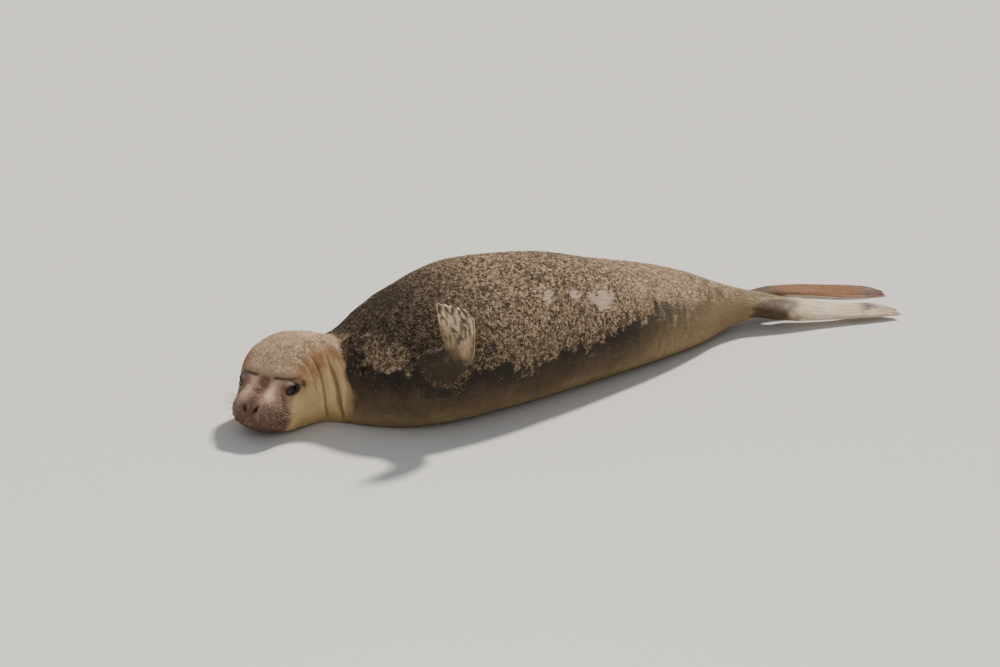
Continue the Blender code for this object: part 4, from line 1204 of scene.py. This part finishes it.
bpy.data.objects.remove(root_points, do_unlink=True)
dress(whiskers, bristle)
print("whisker faces:", len(whiskers.data.polygons))

# %% [markdown]
# ## Fur that breaks the form
# An elephant seal's hair is short and lies flat, so most of it is the nap in the material. Here and there
# small tufts lift off the skin and roughen its outline. Particle hair would be lost in an export, so each
# tuft is a thin blade with three sides. Geometry Nodes scatter them over the skin, turn them along the
# flow of the coat and carry the skin's own colours and sand over to them. They are shortest on the face
# and the flippers.

# %% Flow and length of the fur
flow[:, 2] -= 0.25 * on_trunk
flow -= normal * (flow * normal).sum(1, keepdims=True)
flow /= np.maximum(np.linalg.norm(flow, axis=1, keepdims=True), 1e-9)
face = ramp(along, 0.26, 0.12) * on_trunk
short = ramp(along, 0.62, 0.20)
lift = np.where(on_trunk, 0.12 - 0.05 * short, 0.08)
grows = ramp(height, 0.006, 0.030) * (1 - wet) * (1 - np.clip(follicle * 3, 0, 1)) * (1 - 0.55 * sand)
grows = grows * ramp(root_distance, 0.002, 0.010)
lengths = np.where(on_trunk, 0.0130 - 0.0055 * short - 0.0030 * face, 0.0060)
for name, values in (("way", flow + normal * lift[:, None]), ("up", normal)):
    layer = skin.data.attributes.new(name, "FLOAT_VECTOR", "POINT")
    layer.data.foreach_set("vector", values.astype(np.float32).ravel())
for name, values in (("long", lengths), ("trunk_fur", grows * on_trunk * (1 - face)),
                     ("face_fur", grows * face * (1 - 0.75 * snout)), ("flipper_fur", grows * ~on_trunk)):
    store(skin, name, values)
print("fur is %.0f to %.0f mm long" % (1000 * lengths.min(), 1000 * lengths.max()))

# %% Fur tree
fur_tree, given, out = geometry_tree("fur_growth", [("Where", "NodeSocketString", ""),
                                                    ("Per Square Metre", NUMBER, 6000.0),
                                                    ("Seed", "NodeSocketInt", 1),
                                                    ("Finish", "NodeSocketMaterial", None)])


def named(kind, label):
    return step(fur_tree, "GeometryNodeInputNamedAttribute", {"Name": label}, data_type=kind).outputs[0]


def product(a, b):
    return step(fur_tree, "ShaderNodeMath", {0: a, 1: b}, operation="MULTIPLY").outputs[0]


here = product(named("FLOAT", given["Where"]), given["Per Square Metre"])
dots = step(fur_tree, "GeometryNodeDistributePointsOnFaces",
            {"Mesh": given["Mesh"], "Density": here, "Seed": given["Seed"]}).outputs["Points"]
cone = step(fur_tree, "GeometryNodeMeshCone", {"Vertices": 3, "Side Segments": 1, "Radius Top": 0.0,
                                               "Radius Bottom": 1.0, "Depth": 1.0})
spot = step(fur_tree, "GeometryNodeInputPosition").outputs[0]
x, y, z = step(fur_tree, "ShaderNodeSeparateXYZ", {0: spot}).outputs
blade_shape = step(fur_tree, "ShaderNodeCombineXYZ", {0: product(y, 0.085), 1: product(x, 0.030),
                                                      2: z}).outputs[0]
tuft = step(fur_tree, "GeometryNodeSetPosition", {"Geometry": cone.outputs["Mesh"],
                                                  "Position": blade_shape}).outputs[0]
tuft = step(fur_tree, "GeometryNodeStoreNamedAttribute", {"Geometry": tuft, "Name": "tip", "Value": z},
            data_type="FLOAT", domain="POINT").outputs[0]
turn = step(fur_tree, "FunctionNodeAlignEulerToVector", {"Vector": named("FLOAT_VECTOR", "way")},
            axis="Z").outputs[0]
turn = step(fur_tree, "FunctionNodeAlignEulerToVector",
            {"Rotation": turn, "Vector": named("FLOAT_VECTOR", "up")}, axis="Y", pivot_axis="Z").outputs[0]
vary = step(fur_tree, "FunctionNodeRandomValue", {"Min": 0.7, "Max": 1.25, "Seed": 3}, data_type="FLOAT")
vary = next(socket for socket in vary.outputs if socket.enabled)
tuft_size = product(named("FLOAT", "long"), vary)
set_ = step(fur_tree, "GeometryNodeInstanceOnPoints",
            {"Points": dots, "Instance": tuft, "Rotation": turn, "Scale": tuft_size}).outputs[0]
real = step(fur_tree, "GeometryNodeRealizeInstances", {"Geometry": set_}).outputs[0]
done = step(fur_tree, "GeometryNodeSetMaterial", {"Geometry": real, "Material": given["Finish"]}).outputs[0]
fur_tree.links.new(done, out["Mesh"])
print("fur tree:", len(fur_tree.nodes), "steps")

# %% [markdown]
# Each tuft also gets a tiny patch on a map of the skin, a few millimetres at most from its root's place.

# %% Grow the fur


def root_map(made):
    """Map named OFBake: each tuft is a patch 0.003 across, placed by its first three points, tip included."""
    points = points_of(made)
    tip = np.empty(len(points), np.float32)
    made.data.attributes["tip"].data.foreach_get("value", tip)
    corners = 4
    low_ends = points.reshape(-1, corners, 3)[:, :3].mean(1)
    index = np.array([skin_tree.find(v)[1] for v in low_ends])
    a, r, p = along[index], around[index], part[index]
    base = np.where((p == 0)[:, None], np.stack([0.01 + a / 2.40 * 0.96, 0.02 + r * 0.66], 1),
                    np.stack([(p - 1) * 0.25 + 0.01 + 0.22 * r, 0.72 + 0.26 * a], 1))
    local = np.stack([tip, np.tile(np.linspace(0, 1, corners), len(low_ends))], 1) * 0.003
    uv = np.repeat(base, corners, 0) + local
    corner_of = np.empty(len(made.data.loops), int)
    made.data.loops.foreach_get("vertex_index", corner_of)
    made.data.uv_layers.new(name="OFBake").data.foreach_set("uv", uv[corner_of].astype(np.float32).ravel())


fur_pieces = []
for name, where, per_metre, seed in (("trunk_fur_1", "trunk_fur", 30000, 1),
                                     ("trunk_fur_2", "trunk_fur", 30000, 4),
                                     ("face_fur", "face_fur", 260000, 2),
                                     ("flipper_fur", "flipper_fur", 120000, 3)):
    grown = run_tree(skin, fur_tree, {"Where": where, "Per Square Metre": per_metre, "Seed": seed,
                                      "Finish": fur}, name)
    root_map(grown)
    for extra in ("way", "up", "long", "tip", "trunk_fur", "face_fur", "flipper_fur"):
        grown.data.attributes.remove(grown.data.attributes[extra])
    spots = points_of(grown)
    spots[:, 2] = np.maximum(spots[:, 2], 0.0003)
    put_points(grown, spots)
    dress(grown, fur)
    grown.data.polygons.foreach_set("use_smooth", np.zeros(len(grown.data.polygons), bool))
    fur_pieces.append(grown)
    print(name + ":", len(spots) // 4, "tufts,", len(grown.data.polygons), "triangles")
for extra in ("way", "up", "long", "trunk_fur", "face_fur", "flipper_fur"):
    skin.data.attributes.remove(skin.data.attributes[extra])

# %% [markdown]
# ## Into the frame
# Everything so far was drawn in the animal's own coordinates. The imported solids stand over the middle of
# the floor instead. The left eye is in both, so it tells how far to move each mesh.

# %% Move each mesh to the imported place
eye_low, eye_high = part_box("left_eye")
shift = np.array((eye_low + eye_high) / 2) - raised(eye_axes(1)[0])
pieces = [skin, *eyes.values(), *claws.values(), whiskers, *fur_pieces]
for piece in pieces:
    put_points(piece, raised(points_of(piece)) + shift)
print("moved by", [round(float(value), 4) for value in shift])

# %% Name what each piece stands for
for piece in pieces:
    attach(piece, "root")
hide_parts("head", "lower_jaw", "neck", "chest", "belly", "hips", "tail", "left_fore_flipper",
            "right_fore_flipper", "left_hind_flipper", "right_hind_flipper")
for name, ball in eyes.items():
    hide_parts(name)
for word, nails in claws.items():
    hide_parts(*[f"{word}_fore_claw_{finger}" for finger in range(1, 6)])

# %% [markdown]
# ## Floor, light and camera
# A pale floor and a large soft lamp keep the finish easy to judge. The main light stands high on the
# right, behind the animal, as the sun does in the photograph, so the flank toward the camera is the
# shaded one.

# %% Studio
floor_tone = bpy.data.materials.new("studio_floor")
floor_tone.use_nodes = True
floor_tone.node_tree.nodes["Principled BSDF"].inputs["Base Color"].default_value = (0.62, 0.60, 0.57, 1)
floor_tone.node_tree.nodes["Principled BSDF"].inputs["Roughness"].default_value = 0.9
floor = mesh_object("studio_floor", [(-12, -12, -0.001), (12, -12, -0.001), (12, 12, -0.001),
                                     (-12, 12, -0.001)], [(0, 1, 2, 3)])
floor.data.materials.append(floor_tone)


def lamp(name, kind, power, place_, aim, size_=1.0, tone=(1, 1, 1)):
    light = bpy.data.lights.new(name, kind)
    light.energy, light.color = power, tone
    if kind == "AREA":
        light.shape, light.size = "DISK", size_
    if kind == "SUN":
        light.angle = size_
    made = bpy.data.objects.new(name, light)
    made.location = place_
    made.rotation_euler = (Vector(aim) - Vector(place_)).to_track_quat("-Z", "Y").to_euler()
    bpy.context.scene.collection.objects.link(made)
    return made


lamp("sun_window", "SUN", 5.4, (2.1, 0.7, 2.7), (0, 0, 0), math.radians(7), (1.0, 0.95, 0.86))
lamp("fill_front", "AREA", 36, (-2.4, -3.2, 2.6), (0, 0, 0.2), 3.0, (0.92, 0.96, 1.0))
world = bpy.data.worlds.new("studio_air")
world.use_nodes = True
world.node_tree.nodes["Background"].inputs[0].default_value = (0.92, 0.95, 1.0, 1)
world.node_tree.nodes["Background"].inputs[1].default_value = 0.42
bpy.context.scene.world = world

# %% Camera
AZIMUTH, ELEVATION, DISTANCE, LENS = math.radians(-33), math.radians(22), 20.0, 200.2
PIXELS_PER_METRE, SEEN_AT, PICTURE_MIDDLE = 278, (400, 411), (500, 333.5)
right_way = Vector((math.cos(AZIMUTH), math.sin(AZIMUTH), 0))
back_way = Vector((math.sin(AZIMUTH) * math.cos(ELEVATION), -math.cos(AZIMUTH) * math.cos(ELEVATION),
                   math.sin(ELEVATION)))
up_way = back_way.cross(right_way)
origin = Vector(shift)
aim = origin + right_way * ((PICTURE_MIDDLE[0] - SEEN_AT[0]) / PIXELS_PER_METRE)
aim = aim + up_way * ((SEEN_AT[1] - PICTURE_MIDDLE[1]) / PIXELS_PER_METRE)
camera_data = bpy.data.cameras.new("camera")
camera_data.lens, camera_data.sensor_width = LENS, 36
camera_data.clip_end = 100
camera = bpy.data.objects.new("camera", camera_data)
camera.location = aim + back_way * DISTANCE
camera.rotation_euler = back_way.to_track_quat("Z", "Y").to_euler()
bpy.context.scene.collection.objects.link(camera)
bpy.context.scene.camera = camera
